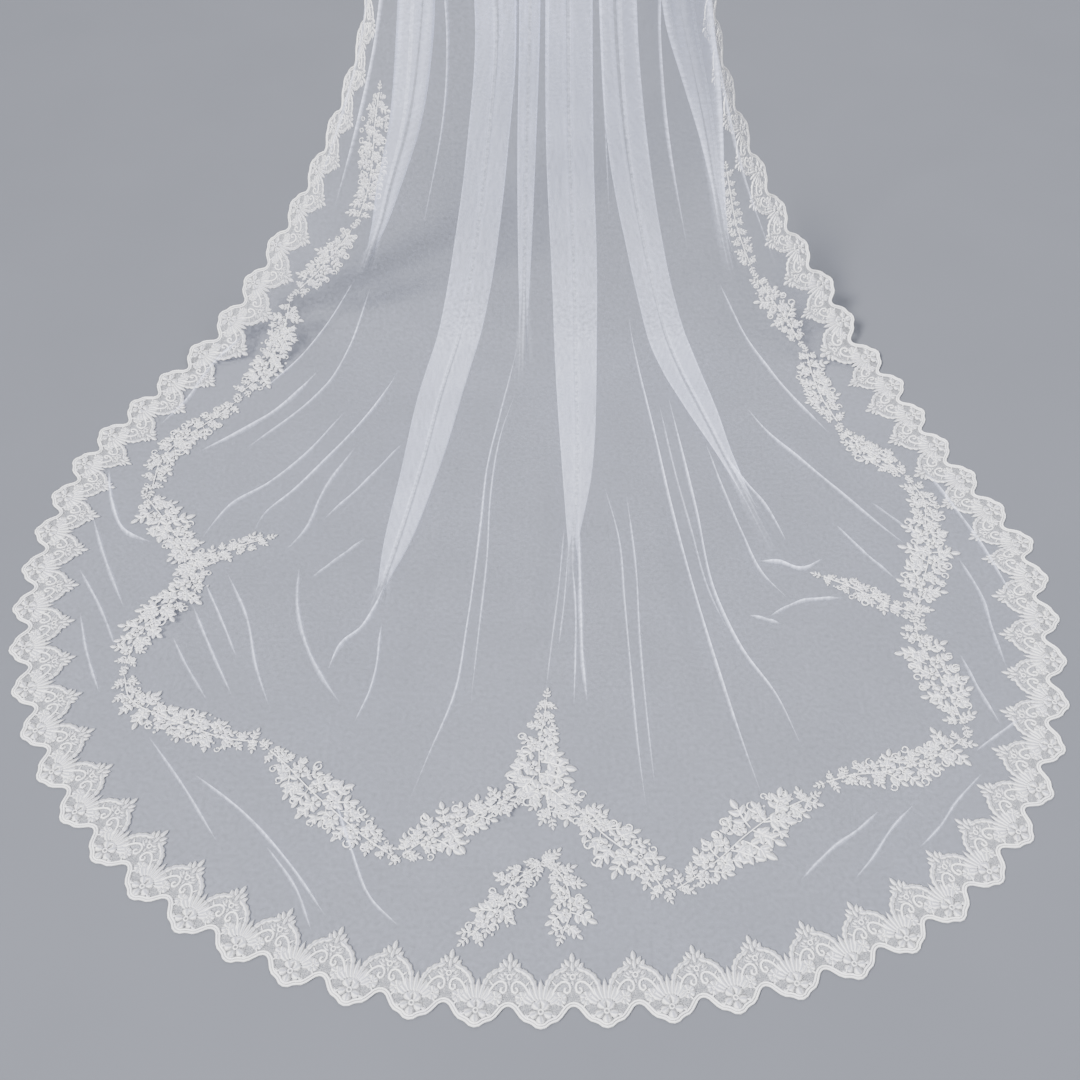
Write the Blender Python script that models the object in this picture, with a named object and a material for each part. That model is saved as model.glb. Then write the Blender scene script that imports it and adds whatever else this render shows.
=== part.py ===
"""Cathedral bridal veil of soft tulle, as worn: it hangs from its comb, falls in six flattened folds,
opens on the floor and runs out in a round train, with scalloped lace all round and lace sprays inside.

Metres, +Z up. The origin is on the comb's spine, where the veil is held. The train runs out along -Y,
and the floor lies COMB_HEIGHT below the origin. Every piece of cloth lies on one surface, which is a
function of two lengths: x, the place from left to right, and down, the way along the cloth from comb
to hem. What is sewn on the tulle is made from the same surface, moved out.
"""

import math

import bmesh
import bpy
import numpy as np
from mathutils import Matrix, Vector
from mathutils.geometry import delaunay_2d_cdt

# Driving sizes
COMB_HEIGHT = 1.68
TULLE_THICK = 0.001
LACE_THICK = 0.0012
SPRAY_THICK = 0.0014
SEAM_GAP = 0.0003
LOOSE_GAP = 0.0035  # between the tulle and the lace on it, where both hang and bend
LIES_FROM = 1.86  # from here, over LIES_OVER, that gap closes to SEAM_GAP
LIES_OVER = 0.09
CLOTH_LENGTH = 3.0
WELD = 0.00002  # points of one body closer than this are one

# Train: the hem is a half superellipse, a little fuller on the right
TRAIN_START = 2.23
TRAIN_LONG = 0.762
TRAIN_MIDDLE = -0.015
TRAIN_HALF_WIDTH = 0.809
FULLNESS_LEFT = 2.05
FULLNESS_RIGHT = 2.45
TRAIN_COLUMNS = 25
TRAIN_ROWS = 7
TRAIN_CROWDING = 0.12  # less than this crowds the columns more at the sides
TRAIN_LEAST = 0.002  # length of the shortest column

# Lace edging: one repeat from the middle of a scallop to the middle of the next
LACE_TOP = 0.78
LACE_PITCH = 0.081
LACE_ON_TULLE = 0.048  # the tulle ends this far inside the scallops
LACE_LEAD = 0.12  # over this length above the lace the tulle's edge draws in under it
HEM_STEP = 0.012  # the hem's direction at a point is taken this far to both sides of it
LACE_END_SHARE = 0.34  # the part of the edging that runs round the train's end

# Where the cloth lies at each level: x and y as seen from above, h as the height over the floor
DOWN, Y_MID, H_MID, X_LEFT, X_RIGHT, Y_EDGE, H_EDGE = range(7)
LEVELS = (
    (0.00, -0.0036, 1.680, -0.050, 0.050, -0.0036, 1.680),
    (0.08, -0.052, 1.622, -0.088, 0.088, 0.004, 1.600),
    (0.22, -0.085, 1.490, -0.150, 0.150, 0.075, 1.400),
    (0.42, -0.095, 1.290, -0.212, 0.210, 0.125, 1.150),
    (0.70, -0.100, 1.010, -0.254, 0.250, 0.142, 0.860),
    (1.10, -0.105, 0.610, -0.320, 0.308, 0.112, 0.462),
    (1.34, -0.112, 0.375, -0.417, 0.397, 0.038, 0.256),
    (1.52, -0.128, 0.205, -0.510, 0.490, -0.045, 0.128),
    (1.64, -0.160, 0.092, -0.578, 0.560, -0.116, 0.058),
    (1.72, -0.205, 0.030, -0.624, 0.590, -0.172, 0.022),
    (1.80, -0.270, 0.004, -0.675, 0.634, -0.238, 0.002),
    (1.90, -0.370, 0.000, -0.735, 0.668, -0.345, 0.000),
    (2.00, -0.470, 0.000, -0.790, 0.705, -0.456, 0.000),
    (2.10, -0.570, 0.000, -0.816, 0.750, -0.568, 0.000),
    (2.23, -0.700, 0.000, -0.824, 0.794, -0.700, 0.000),
    (2.40, -0.870, 0.000, -0.824, 0.794, -0.870, 0.000),
    (3.00, -1.470, 0.000, -0.824, 0.794, -1.470, 0.000),
)
SIDE_TURN = 2.8  # how late, from the middle to the edge, the sides turn forward

# Levels at which the cloth has its sections. Between two of them it runs straight.
FALL_STATIONS = (0.0, 0.08, 0.22, 0.40, 0.62, 0.86, 1.10)
SWEEP_STATIONS = (1.10, 1.27, 1.42, 1.54, 1.64, 1.72, 1.80, 1.90, 2.01, 2.13, 2.24, 2.30, 2.35)

# Folds: each is a pipe pressed flat, so its band is three layers deep
FOLD_DOWN, FOLD_CENTRE, FOLD_WIDTH = range(3)
FOLDS = {
    "far_left": (
        (0.00, -0.041, 0.011),
        (0.30, -0.115, 0.035),
        (0.70, -0.165, 0.048),
        (1.10, -0.189, 0.058),
        (1.30, -0.227, 0.052),
        (1.41, -0.262, 0.042),
        (1.50, -0.289, 0.024),
        (1.56, -0.314, 0.008),
        (1.63, -0.345, 0.000),
        (1.80, -0.420, 0.000),
        (2.10, -0.500, 0.000),
        (2.35, -0.540, 0.000),
    ),
    "left": (
        (0.00, -0.0245, 0.011),
        (0.30, -0.058, 0.033),
        (0.70, -0.071, 0.046),
        (1.10, -0.071, 0.060),
        (1.33, -0.091, 0.068),
        (1.64, -0.137, 0.078),
        (1.81, -0.174, 0.078),
        (2.06, -0.209, 0.062),
        (2.23, -0.238, 0.036),
        (2.30, -0.252, 0.012),
        (2.35, -0.262, 0.000),
    ),
    "mid_left": (
        (0.00, -0.0082, 0.010),
        (0.30, -0.019, 0.022),
        (0.70, -0.023, 0.029),
        (1.10, -0.0205, 0.032),
        (1.33, -0.027, 0.031),
        (1.64, -0.034, 0.018),
        (1.84, -0.038, 0.000),
    ),
    "mid_right": (
        (0.00, 0.0082, 0.011),
        (0.30, 0.024, 0.034),
        (0.70, 0.034, 0.054),
        (1.10, 0.038, 0.070),
        (1.33, 0.044, 0.078),
        (1.64, 0.058, 0.080),
        (1.86, 0.060, 0.070),
        (2.06, 0.057, 0.048),
        (2.23, 0.047, 0.012),
        (2.30, 0.046, 0.000),
    ),
    "right": (
        (0.00, 0.0245, 0.011),
        (0.30, 0.070, 0.033),
        (0.70, 0.098, 0.046),
        (1.10, 0.110, 0.054),
        (1.33, 0.139, 0.066),
        (1.65, 0.208, 0.067),
        (1.75, 0.236, 0.071),
        (1.89, 0.277, 0.054),
        (2.01, 0.310, 0.026),
        (2.13, 0.345, 0.010),
        (2.24, 0.378, 0.000),
    ),
    "far_right": (
        (0.00, 0.041, 0.011),
        (0.30, 0.120, 0.035),
        (0.70, 0.172, 0.058),
        (1.10, 0.222, 0.086),
        (1.22, 0.256, 0.064),
        (1.31, 0.279, 0.042),
        (1.40, 0.298, 0.024),
        (1.54, 0.330, 0.010),
        (1.63, 0.360, 0.000),
        (1.80, 0.430, 0.000),
        (2.10, 0.490, 0.000),
        (2.35, 0.530, 0.000),
    ),
}
FOLD_HEIGHTS = (
    (0.00, 0.010),
    (0.30, 0.022),
    (0.70, 0.030),
    (1.10, 0.028),
    (1.40, 0.020),
    (1.70, 0.014),
    (2.40, 0.011),
)
HEIGHT = 1  # the column of the fold's height
NECK_HALF = 0.0025
UNDER_SHARE = 0.42  # height of the layer under a band, as a share of the fold's height
BAND_EDGE_SHARE = 0.92  # height of the band at its edges, as a share of the fold's height
BAND_MIDDLE_SHARE = 1.03
FULL_FOLD_WIDTH = 0.022  # a narrower fold is only partly closed
OPEN_HALF = 0.016  # half the width of the ridge that an opened fold lies down to
FOLD_SHARE = 0.11  # both are at most this part of the cloth's width, which is small at the comb
GATHER_DEPTH = 0.3  # small gathers between the folds, as a share of the fold's height
GATHERS_FULL = 0.2  # the gathers are full from here, and have died away GATHERS_FADE below GATHERS_LONG
GATHERS_LONG = 0.4
GATHERS_FADE = 0.5
MOST_REACH = 1 / 0.62  # a wall's points go out this much further at the sharpest bends

# One repeat of the lace, in millimetres from its middle and in from the scallops: the outer line,
# then the inner line with the fan at both ends and the tooth in the middle
LACE_OUTER = ((-40.5, 0), (-33, 1.5), (-21.5, 10.5), (-13.5, 17), (0, 29), (13.5, 17), (21.5, 10.5),
              (33, 1.5), (40.5, 0))
LACE_INNER = ((40.5, 61), (32.5, 51), (21, 70), (11, 77), (0, 96), (-11, 77), (-21, 70), (-32.5, 51),
              (-40.5, 61))
LACE_HOLES = (
    ((0, 45), (9, 38), (0, 35.5), (-9, 38)),
    ((-28, 20), (-22, 26), (-20, 17.5)),
    ((28, 20), (20, 17.5), (22, 26)),
)
HALF_REPEAT_MM = 40.5

# Lace sprays: the line that each follows, from x and down, and half its width there
SPRAY_X, SPRAY_DOWN, SPRAY_HALF = range(3)
SPRAYS = {
    "spray_left_top": (
        (-0.276, 1.225, 0.008),
        (-0.289, 1.280, 0.022),
        (-0.297, 1.340, 0.025),
        (-0.307, 1.410, 0.018),
        (-0.328, 1.475, 0.010),
    ),
    "spray_left_high": (
        (-0.342, 1.503, 0.010),
        (-0.364, 1.532, 0.022),
        (-0.388, 1.560, 0.026),
        (-0.416, 1.592, 0.020),
        (-0.444, 1.618, 0.008),
    ),
    "spray_left_mid": (
        (-0.464, 1.648, 0.010),
        (-0.474, 1.700, 0.026),
        (-0.492, 1.760, 0.030),
        (-0.518, 1.825, 0.023),
        (-0.540, 1.857, 0.010),
    ),
    "spray_left_low": (
        (-0.546, 1.880, 0.010),
        (-0.572, 1.915, 0.020),
        (-0.606, 1.952, 0.024),
        (-0.638, 1.992, 0.024),
        (-0.652, 2.040, 0.018),
        (-0.652, 2.085, 0.009),
    ),
    "spray_left_knot": (
        (-0.655, 2.104, 0.012),
        (-0.634, 2.130, 0.034),
        (-0.602, 2.173, 0.034),
        (-0.570, 2.218, 0.030),
        (-0.550, 2.263, 0.026),
        (-0.562, 2.315, 0.030),
        (-0.592, 2.350, 0.032),
        (-0.615, 2.400, 0.024),
        (-0.620, 2.445, 0.012),
    ),
    "spray_left_branch": (
        (-0.518, 2.226, 0.010),
        (-0.502, 2.217, 0.018),
        (-0.478, 2.205, 0.015),
        (-0.446, 2.192, 0.004),
    ),
    "spray_left_foot": (
        (-0.618, 2.465, 0.012),
        (-0.602, 2.505, 0.020),
        (-0.557, 2.533, 0.026),
        (-0.504, 2.555, 0.030),
        (-0.456, 2.573, 0.022),
        (-0.402, 2.580, 0.006),
    ),
    "spray_left_hem": (
        (-0.388, 2.592, 0.008),
        (-0.360, 2.618, 0.022),
        (-0.322, 2.658, 0.038),
        (-0.278, 2.698, 0.034),
        (-0.236, 2.734, 0.022),
        (-0.208, 2.755, 0.008),
    ),
    "spray_centre_left": (
        (-0.190, 2.760, 0.008),
        (-0.168, 2.742, 0.026),
        (-0.128, 2.718, 0.032),
        (-0.092, 2.698, 0.028),
        (-0.062, 2.682, 0.010),
    ),
    "spray_centre": (
        (0.005, 2.505, 0.004),
        (0.001, 2.542, 0.016),
        (-0.006, 2.585, 0.030),
        (-0.006, 2.630, 0.042),
        (0.004, 2.668, 0.036),
        (0.010, 2.702, 0.012),
    ),
    "spray_centre_right": (
        (0.058, 2.700, 0.010),
        (0.078, 2.724, 0.036),
        (0.112, 2.754, 0.034),
        (0.140, 2.782, 0.022),
        (0.158, 2.812, 0.010),
    ),
    "spray_right_hem": (
        (0.172, 2.808, 0.008),
        (0.196, 2.792, 0.016),
        (0.230, 2.766, 0.028),
        (0.272, 2.728, 0.040),
        (0.321, 2.692, 0.032),
        (0.366, 2.670, 0.012),
    ),
    "spray_right_foot": (
        (0.390, 2.647, 0.006),
        (0.426, 2.635, 0.016),
        (0.470, 2.630, 0.026),
        (0.519, 2.618, 0.034),
        (0.567, 2.595, 0.028),
        (0.598, 2.572, 0.012),
    ),
    "spray_right_rise": (
        (0.602, 2.552, 0.012),
        (0.594, 2.507, 0.028),
        (0.582, 2.453, 0.038),
        (0.568, 2.407, 0.026),
        (0.566, 2.366, 0.010),
    ),
    "spray_right_branch": (
        (0.438, 2.272, 0.004),
        (0.470, 2.288, 0.014),
        (0.508, 2.312, 0.024),
        (0.536, 2.330, 0.010),
    ),
    "spray_right_knot": (
        (0.574, 2.346, 0.010),
        (0.592, 2.290, 0.030),
        (0.616, 2.225, 0.034),
        (0.622, 2.163, 0.030),
        (0.630, 2.107, 0.020),
        (0.618, 2.072, 0.010),
    ),
    "spray_right_low": (
        (0.609, 2.054, 0.010),
        (0.583, 2.022, 0.024),
        (0.549, 1.990, 0.026),
        (0.521, 1.952, 0.010),
    ),
    "spray_right_mid": (
        (0.516, 1.930, 0.012),
        (0.498, 1.875, 0.026),
        (0.488, 1.812, 0.028),
        (0.482, 1.757, 0.012),
    ),
    "spray_right_high": (
        (0.470, 1.730, 0.010),
        (0.448, 1.683, 0.024),
        (0.418, 1.640, 0.026),
        (0.392, 1.600, 0.009),
    ),
    "spray_right_top": (
        (0.378, 1.575, 0.010),
        (0.360, 1.530, 0.014),
        (0.344, 1.480, 0.014),
        (0.332, 1.420, 0.010),
        (0.324, 1.375, 0.006),
    ),
    "spray_small_left": (
        (-0.002, 2.768, 0.008),
        (-0.020, 2.783, 0.016),
        (-0.043, 2.802, 0.022),
        (-0.056, 2.830, 0.025),
        (-0.074, 2.853, 0.022),
        (-0.096, 2.873, 0.008),
    ),
    "spray_small_right": (
        (0.014, 2.776, 0.008),
        (0.026, 2.793, 0.018),
        (0.034, 2.820, 0.022),
        (0.033, 2.846, 0.024),
        (0.024, 2.868, 0.010),
    ),
}
SPRAY_LOOSE = {  # these stand less far off the tulle where it hangs
    "spray_left_top": 0.00165,
    "spray_left_high": 0.00125,
    "spray_left_mid": 0.0005,
    "spray_right_high": 0.0018,
}
SPRAY_STEP = 0.015  # from one leaf tip to the next
LEAF_OUT = 1.22
LEAF_IN = 0.78

# Comb
COMB_WIDE = 0.100
SPINE_RADIUS = 0.0022
TOOTH_RADIUS = 0.0009
TOOTH_LONG = 0.042
TOOTH_COUNT = 14
TOOTH_INSET = 0.004  # from each end of the spine to the first tooth
TOOTH_BOW = 0.010
TOOTH_TAPER = 0.4
TOOTH_RINGS = 5
TOOTH_SIDES = 6


def smooth_table(rows, where):
    """Every column of a table at the given places: a cubic through its rows, level at both ends."""
    table = np.array(rows, float)
    keys = table[:, 0]
    slopes = np.gradient(table, keys, axis=0)
    flat = (table[1:] == table[:-1])
    slopes[1:][flat] = 0.0
    slopes[:-1][flat] = 0.0
    where = np.clip(np.asarray(where, float), keys[0], keys[-1])
    k = np.clip(np.searchsorted(keys, where, side="right") - 1, 0, len(keys) - 2)
    span = keys[k + 1] - keys[k]
    t = ((where - keys[k]) / span)[..., None]
    span = span[..., None]
    start = table[k] * (1 + 2 * t) * (1 - t) ** 2 + slopes[k] * span * t * (1 - t) ** 2
    end = table[k + 1] * (3 - 2 * t) * t ** 2 + slopes[k + 1] * span * t ** 2 * (t - 1)
    return start + end


def ease(t):
    """From 0 to 1, level at both ends."""
    t = np.clip(t, 0.0, 1.0)
    return t * t * (3 - 2 * t)


def stretched(down):
    """The levels' columns, straight between the stations, so that every piece of cloth has the same
    flat runs there."""
    stations = np.array(FALL_STATIONS + SWEEP_STATIONS[1:] + (2.60, CLOTH_LENGTH))
    rows = smooth_table(LEVELS, stations)
    return np.stack([np.interp(down, stations, column) for column in rows.T], axis=-1)


def base(x, down):
    """The unfolded surface: at each level the cloth runs from x_left to x_right, and its y and
    height pass from the middle's to the edges' values with a power of the distance out."""
    x, down = np.broadcast_arrays(np.asarray(x, float), np.asarray(down, float))
    level = stretched(down)
    x_left = level[..., X_LEFT]
    x_right = level[..., X_RIGHT]
    out = (2 * x - x_left - x_right) / (x_right - x_left)
    turn = np.abs(out) ** SIDE_TURN
    y = level[..., Y_MID] + (level[..., Y_EDGE] - level[..., Y_MID]) * turn
    height = level[..., H_MID] + (level[..., H_EDGE] - level[..., H_MID]) * turn
    lift = TULLE_THICK / 2
    return np.stack([x, y, np.maximum(height, 0.0) + lift - COMB_HEIGHT], axis=-1)


def unit(vectors):
    return vectors / np.linalg.norm(vectors, axis=-1, keepdims=True)


def base_normal(x, down):
    """Straight out of the surface: up on the floor, and backwards where the cloth hangs."""
    step = 0.004
    along_x = base(x + step, down) - base(x - step, down)
    along_down = base(x, np.minimum(down + step, CLOTH_LENGTH)) - base(x, np.maximum(down - step, 0.0))
    return unit(np.cross(along_down, along_x))


def on_surface(x, down, out):
    return base(x, down) + base_normal(x, down) * np.asarray(out, float)[..., None]


def x_metric(x, down):
    """Length on the cloth for each unit of x."""
    step = 0.002
    return np.linalg.norm(base(x + step, down) - base(x - step, down), axis=-1) / (2 * step)


def fold_profile(width, height, room):
    """Points (across, out) of one fold at each level: up through the neck, out to the left over the
    layer below, across the top, and back the same way on the right. A narrow fold opens to a ridge.
    Room is the most that a ridge may take, where the cloth is gathered to little width."""
    half = width / 2
    radius = UNDER_SHARE * height / 2
    foot = NECK_HALF + radius
    zero = np.zeros_like(width)
    neck = np.full_like(width, NECK_HALF)
    across = np.stack([foot, neck, foot, half, half, zero], axis=-1)
    over = [BAND_EDGE_SHARE * height, BAND_MIDDLE_SHARE * height]
    out = np.stack([zero, radius, 2 * radius, 2 * radius, *over], axis=-1)
    across = np.concatenate([-across, across[..., -2::-1]], axis=-1)
    out = np.concatenate([out, out[..., -2::-1]], axis=-1)
    count = across.shape[-1]
    open_across = np.minimum(OPEN_HALF, room)[..., None] * np.linspace(-1, 1, count)
    closed = ease(width / np.minimum(FULL_FOLD_WIDTH, room))[..., None]
    return open_across + (across - open_across) * closed, out * np.sqrt(closed)


def tulle_edges(down):
    """x of both edges of the tulle: the cloth's own edge above the lace, and under the lace's inner
    half below it."""
    level = stretched(down)
    inset = LACE_ON_TULLE * ease((down - LACE_TOP + LACE_LEAD) / LACE_LEAD)
    left = level[..., X_LEFT] + inset / x_metric(level[..., X_LEFT], down)
    right = level[..., X_RIGHT] - inset / x_metric(level[..., X_RIGHT], down)
    return left, right


def section_rows(downs):
    """Points of the folded tulle, one row for each level, from its left edge to its right edge."""
    downs = np.asarray(downs, float)
    height = smooth_table(FOLD_HEIGHTS, downs)[:, HEIGHT]
    left, right = tulle_edges(downs)
    room = FOLD_SHARE * (right - left)
    fade = 1 - ease((downs - GATHERS_LONG) / GATHERS_FADE)
    gather = -GATHER_DEPTH * height * ease(downs / GATHERS_FULL) * fade
    xs = []
    outs = []
    before = left
    for name, rows in FOLDS.items():
        fold = smooth_table(rows, downs)
        across, out = fold_profile(np.maximum(fold[:, FOLD_WIDTH], 0.0), height, room)
        across = across + fold[:, FOLD_CENTRE, None]
        steps = 3 if name == "far_left" else 2
        for k in range(steps):
            xs.append(before + (across[:, 0] - before) * k / steps)
            outs.append(gather * (1.0 if k == 1 else 0.0))
        xs.extend(across[:, :-1].T)
        outs.extend(out[:, :-1].T)
        before = across[:, -1]
    for k in range(4):
        xs.append(before + (right - before) * k / 3)
        outs.append(gather * (1.0 if k == 1 else 0.0))
    xs = np.stack(xs, axis=1)
    outs = np.stack(outs, axis=1)
    return on_surface(xs, downs[:, None] * np.ones_like(xs), outs)


def hem_down(x):
    """How far down the hem of the cloth lies at x on the train."""
    out = np.clip(np.abs(x - TRAIN_MIDDLE) / TRAIN_HALF_WIDTH, 0.0, 1.0)
    power = np.where(x < TRAIN_MIDDLE, FULLNESS_LEFT, FULLNESS_RIGHT)
    return TRAIN_START + TRAIN_LONG * (1 - out ** power) ** (1 / power)


def lattice_faces(rows, columns):
    """Two triangles for each cell of a grid of points, listed row by row."""
    first = (np.arange(rows - 1)[:, None] * columns + np.arange(columns - 1)).ravel()
    corners = np.stack([first, first + columns, first + columns + 1, first + 1], axis=1)
    return np.concatenate([corners[:, [0, 1, 2]], corners[:, [0, 2, 3]]])


def vertex_normals(points, faces):
    """Normals for a wall of even thickness: the mean of the faces round a point, made longer at a
    sharp bend."""
    flat = np.cross(points[faces[:, 1]] - points[faces[:, 0]], points[faces[:, 2]] - points[faces[:, 0]])
    area = np.linalg.norm(flat, axis=1, keepdims=True)
    facing = flat / np.maximum(area, 1e-12)
    total = np.zeros_like(points)
    for corner in range(3):
        ahead = points[faces[:, (corner + 1) % 3]] - points[faces[:, corner]]
        behind = points[faces[:, (corner + 2) % 3]] - points[faces[:, corner]]
        cosine = (unit(ahead) * unit(behind)).sum(axis=1)
        angle = np.arccos(np.clip(cosine, -1, 1))
        np.add.at(total, faces[:, corner], facing * angle[:, None])
    mean = unit(total)
    reach = np.ones(len(points))
    for corner in range(3):
        lean = (mean[faces[:, corner]] * facing).sum(axis=1)
        np.minimum.at(reach, faces[:, corner], lean)
    return mean / np.clip(reach, 1 / MOST_REACH, 1.0)[:, None]


def closed_wall(name, low, high, faces, material):
    """A closed body between two copies of one sheet of faces, with a rim along its open edges."""
    count = len(low)
    ends = np.concatenate([faces[:, [0, 1]], faces[:, [1, 2]], faces[:, [2, 0]]])
    directed = {(int(a), int(b)) for a, b in ends}
    rim = [(a, b) for a, b in directed if (b, a) not in directed]
    polygons = [tuple(int(i) + count for i in face) for face in faces]
    polygons += [tuple(int(i) for i in face[::-1]) for face in faces]
    polygons += [(a, b, b + count, a + count) for a, b in sorted(rim)]
    mesh = bpy.data.meshes.new(name)
    mesh.from_pydata([tuple(p) for p in np.concatenate([low, high])], [], polygons)
    mesh.validate()
    bm = bmesh.new()
    bm.from_mesh(mesh)
    bmesh.ops.remove_doubles(bm, verts=bm.verts, dist=WELD)
    bmesh.ops.triangulate(bm, faces=bm.faces)
    bm.to_mesh(mesh)
    bm.free()
    mesh.shade_smooth()
    mesh.materials.append(material)
    piece = bpy.data.objects.new(name, mesh)
    bpy.data.collections["bridal_veil"].objects.link(piece)
    return piece


def tulle_wall(name, points, normals, faces, material):
    half = TULLE_THICK / 2
    return closed_wall(name, points - normals * half, points + normals * half, faces, material)


def make_folded_tulle(material):
    """The folded part of the cloth in two stretches: the fall, from the gathers on the comb down to
    the knee, and the sweep, that lands and opens until the last fold has died away."""
    points = section_rows(FALL_STATIONS + SWEEP_STATIONS[1:])
    rows, columns = points.shape[:2]
    normals = vertex_normals(points.reshape(-1, 3), lattice_faces(rows, columns)).reshape(points.shape)
    split = len(FALL_STATIONS) - 1
    stretches = {"tulle_fall": slice(0, split + 1), "tulle_sweep": slice(split, rows)}
    for name, part in stretches.items():
        own = points[part].copy()
        own[-1] -= unit(own[-1] - own[-2]) * SEAM_GAP
        faces = lattice_faces(len(own), columns)
        tulle_wall(name, own.reshape(-1, 3), normals[part].reshape(-1, 3), faces, material)


def make_train(material):
    """The round end of the train. Each column runs from the seam line to the hem of the tulle."""
    start = SWEEP_STATIONS[-1]
    columns = TRAIN_COLUMNS
    inset_share = 1 - LACE_ON_TULLE / TRAIN_HALF_WIDTH
    left, right = tulle_edges(np.array([start]))
    turn = np.linspace(TRAIN_CROWDING, 1 - TRAIN_CROWDING, columns) * math.pi
    x = left[0] + (right[0] - left[0]) * (0.5 - 0.5 * np.cos(turn))
    x[0] = left[0]
    x[-1] = right[0]
    wide = TRAIN_MIDDLE + (x - TRAIN_MIDDLE) / inset_share
    hem = TRAIN_START + (hem_down(wide) - TRAIN_START) * (1 - LACE_ON_TULLE / TRAIN_LONG)
    hem = np.maximum(hem, start + TRAIN_LEAST)
    share = np.linspace(0, 1, TRAIN_ROWS)[:, None]
    down = start + (hem - start) * share
    points = base(np.broadcast_to(x, down.shape), down)
    faces = lattice_faces(TRAIN_ROWS, columns)
    points = points.reshape(-1, 3)
    return tulle_wall("tulle_train", points, vertex_normals(points, faces), faces, material)


def hem_path():
    """The outer line of the lace as x and down: the left edge, the round end and the right edge,
    with the true length along it."""
    straight = np.linspace(LACE_TOP, TRAIN_START, 160)
    level = stretched(straight)
    turn = np.linspace(0, math.pi, 260)[1:-1]
    power = np.where(turn < math.pi / 2, FULLNESS_LEFT, FULLNESS_RIGHT)
    out = np.abs(np.cos(turn)) ** (2 / power)
    end_x = TRAIN_MIDDLE - TRAIN_HALF_WIDTH * np.sign(np.cos(turn)) * out
    end_down = TRAIN_START + TRAIN_LONG * np.sin(turn) ** (2 / power)
    x = np.concatenate([level[:, X_LEFT], end_x, level[::-1, X_RIGHT]])
    down = np.concatenate([straight, end_down, straight[::-1]])
    points = base(x, down)
    length = np.concatenate([[0.0], np.cumsum(np.linalg.norm(np.diff(points, axis=0), axis=1))])
    return x, down, length


def hem_place(along, inward):
    """x and down of the point that lies a length along the hem and a distance in from it."""
    x, down, length = hem_path()
    step = HEM_STEP
    px = np.interp(along, length, x)
    pd = np.interp(along, length, down)
    tx = np.interp(along + step, length, x) - np.interp(along - step, length, x)
    td = np.interp(along + step, length, down) - np.interp(along - step, length, down)
    metric = x_metric(px, pd)
    tangent = unit(np.stack([tx * metric, td], axis=-1))
    return px + inward * tangent[..., 1] / metric, pd - inward * tangent[..., 0]


def inside(point, outline):
    """Whether a point is inside a closed outline, by the crossings to its right."""
    x, y = point
    odd = False
    for (ax, ay), (bx, by) in zip(outline, outline[1:] + outline[:1]):
        if (ay > y) != (by > y) and x < ax + (y - ay) * (bx - ax) / (by - ay):
            odd = not odd
    return odd


def flat_triangles(outline, holes):
    """Triangles of a flat outline with holes, all turned the same way, and their points."""
    loops = [list(outline)] + [list(hole) for hole in holes]
    points = [p for loop in loops for p in loop]
    edges = []
    first = 0
    for loop in loops:
        edges += [(first + i, first + (i + 1) % len(loop)) for i in range(len(loop))]
        first += len(loop)
    made = delaunay_2d_cdt([Vector(p) for p in points], edges, [], 0, 1e-6)
    points = [tuple(p) for p in made[0]]
    kept = []
    for a, b, c in made[2]:
        middle = tuple(sum(points[i][axis] for i in (a, b, c)) / 3 for axis in (0, 1))
        if inside(middle, loops[0]) and not any(inside(middle, hole) for hole in loops[1:]):
            (ax, ay), (bx, by), (cx, cy) = points[a], points[b], points[c]
            turned = (bx - ax) * (cy - ay) - (by - ay) * (cx - ax) > 0
            kept.append((a, b, c) if turned else (a, c, b))
    return np.array(points), np.array(kept)


def gap_under(down, loose):
    """The lace lies on the tulle on the floor, and stands a little off it where both bend."""
    return loose + (SEAM_GAP - loose) * ease((down - LIES_FROM) / LIES_OVER)


def sewn_on(name, x, down, faces, thick, material):
    """A sheet that follows the tulle's own surface, moved out by half the tulle and the gap."""
    low = TULLE_THICK / 2 + gap_under(down, SPRAY_LOOSE.get(name, LOOSE_GAP))
    # A turned face would point into the tulle, so the faces are listed the way that points out.
    points = base(x, down)
    normal = base_normal(x, down)
    corner = points[faces]
    facing = np.cross(corner[:, 1] - corner[:, 0], corner[:, 2] - corner[:, 0])
    if (facing * normal[faces[:, 0]]).sum() < 0:
        faces = faces[:, ::-1]
    return closed_wall(
        name, points + normal * low[:, None], points + normal * (low + thick)[:, None], faces, material
    )


def make_edging(material):
    """The scalloped lace, in three lengths that meet at the middle of a scallop."""
    total = hem_path()[2][-1]
    repeats = 2 * round(total / LACE_PITCH / 2)
    pitch = total / repeats
    round_end = 2 * round(repeats * LACE_END_SHARE / 2)
    first = (repeats - round_end) // 2
    template, faces = flat_triangles(LACE_OUTER + LACE_INNER, LACE_HOLES)
    lengths = {
        "lace_edge_left": (0, first),
        "lace_edge_end": (first, first + round_end),
        "lace_edge_right": (first + round_end, repeats),
    }
    for name, (start, stop) in lengths.items():
        numbers = np.arange(start, stop)
        along = (numbers[:, None] + 0.5 + template[:, 0] / (2 * HALF_REPEAT_MM)) * pitch
        along = np.clip(along, start * pitch + SEAM_GAP / 2, stop * pitch - SEAM_GAP / 2)
        inward = np.broadcast_to(template[:, 1] / 1000, along.shape)
        x, down = hem_place(along.ravel(), inward.ravel())
        all_faces = (faces + (numbers - start)[:, None, None] * len(template)).reshape(-1, 3)
        x, down, all_faces = joined(x, down, all_faces)
        sewn_on(name, x, down, all_faces, LACE_THICK, material)


def joined(x, down, faces):
    """The same faces with the points that two repeats share made one."""
    keys = np.round(np.stack([x, down], axis=1) * 20000).astype(int)
    _, first, index = np.unique(keys, axis=0, return_index=True, return_inverse=True)
    return x[first], down[first], index.reshape(-1)[faces]


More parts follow.
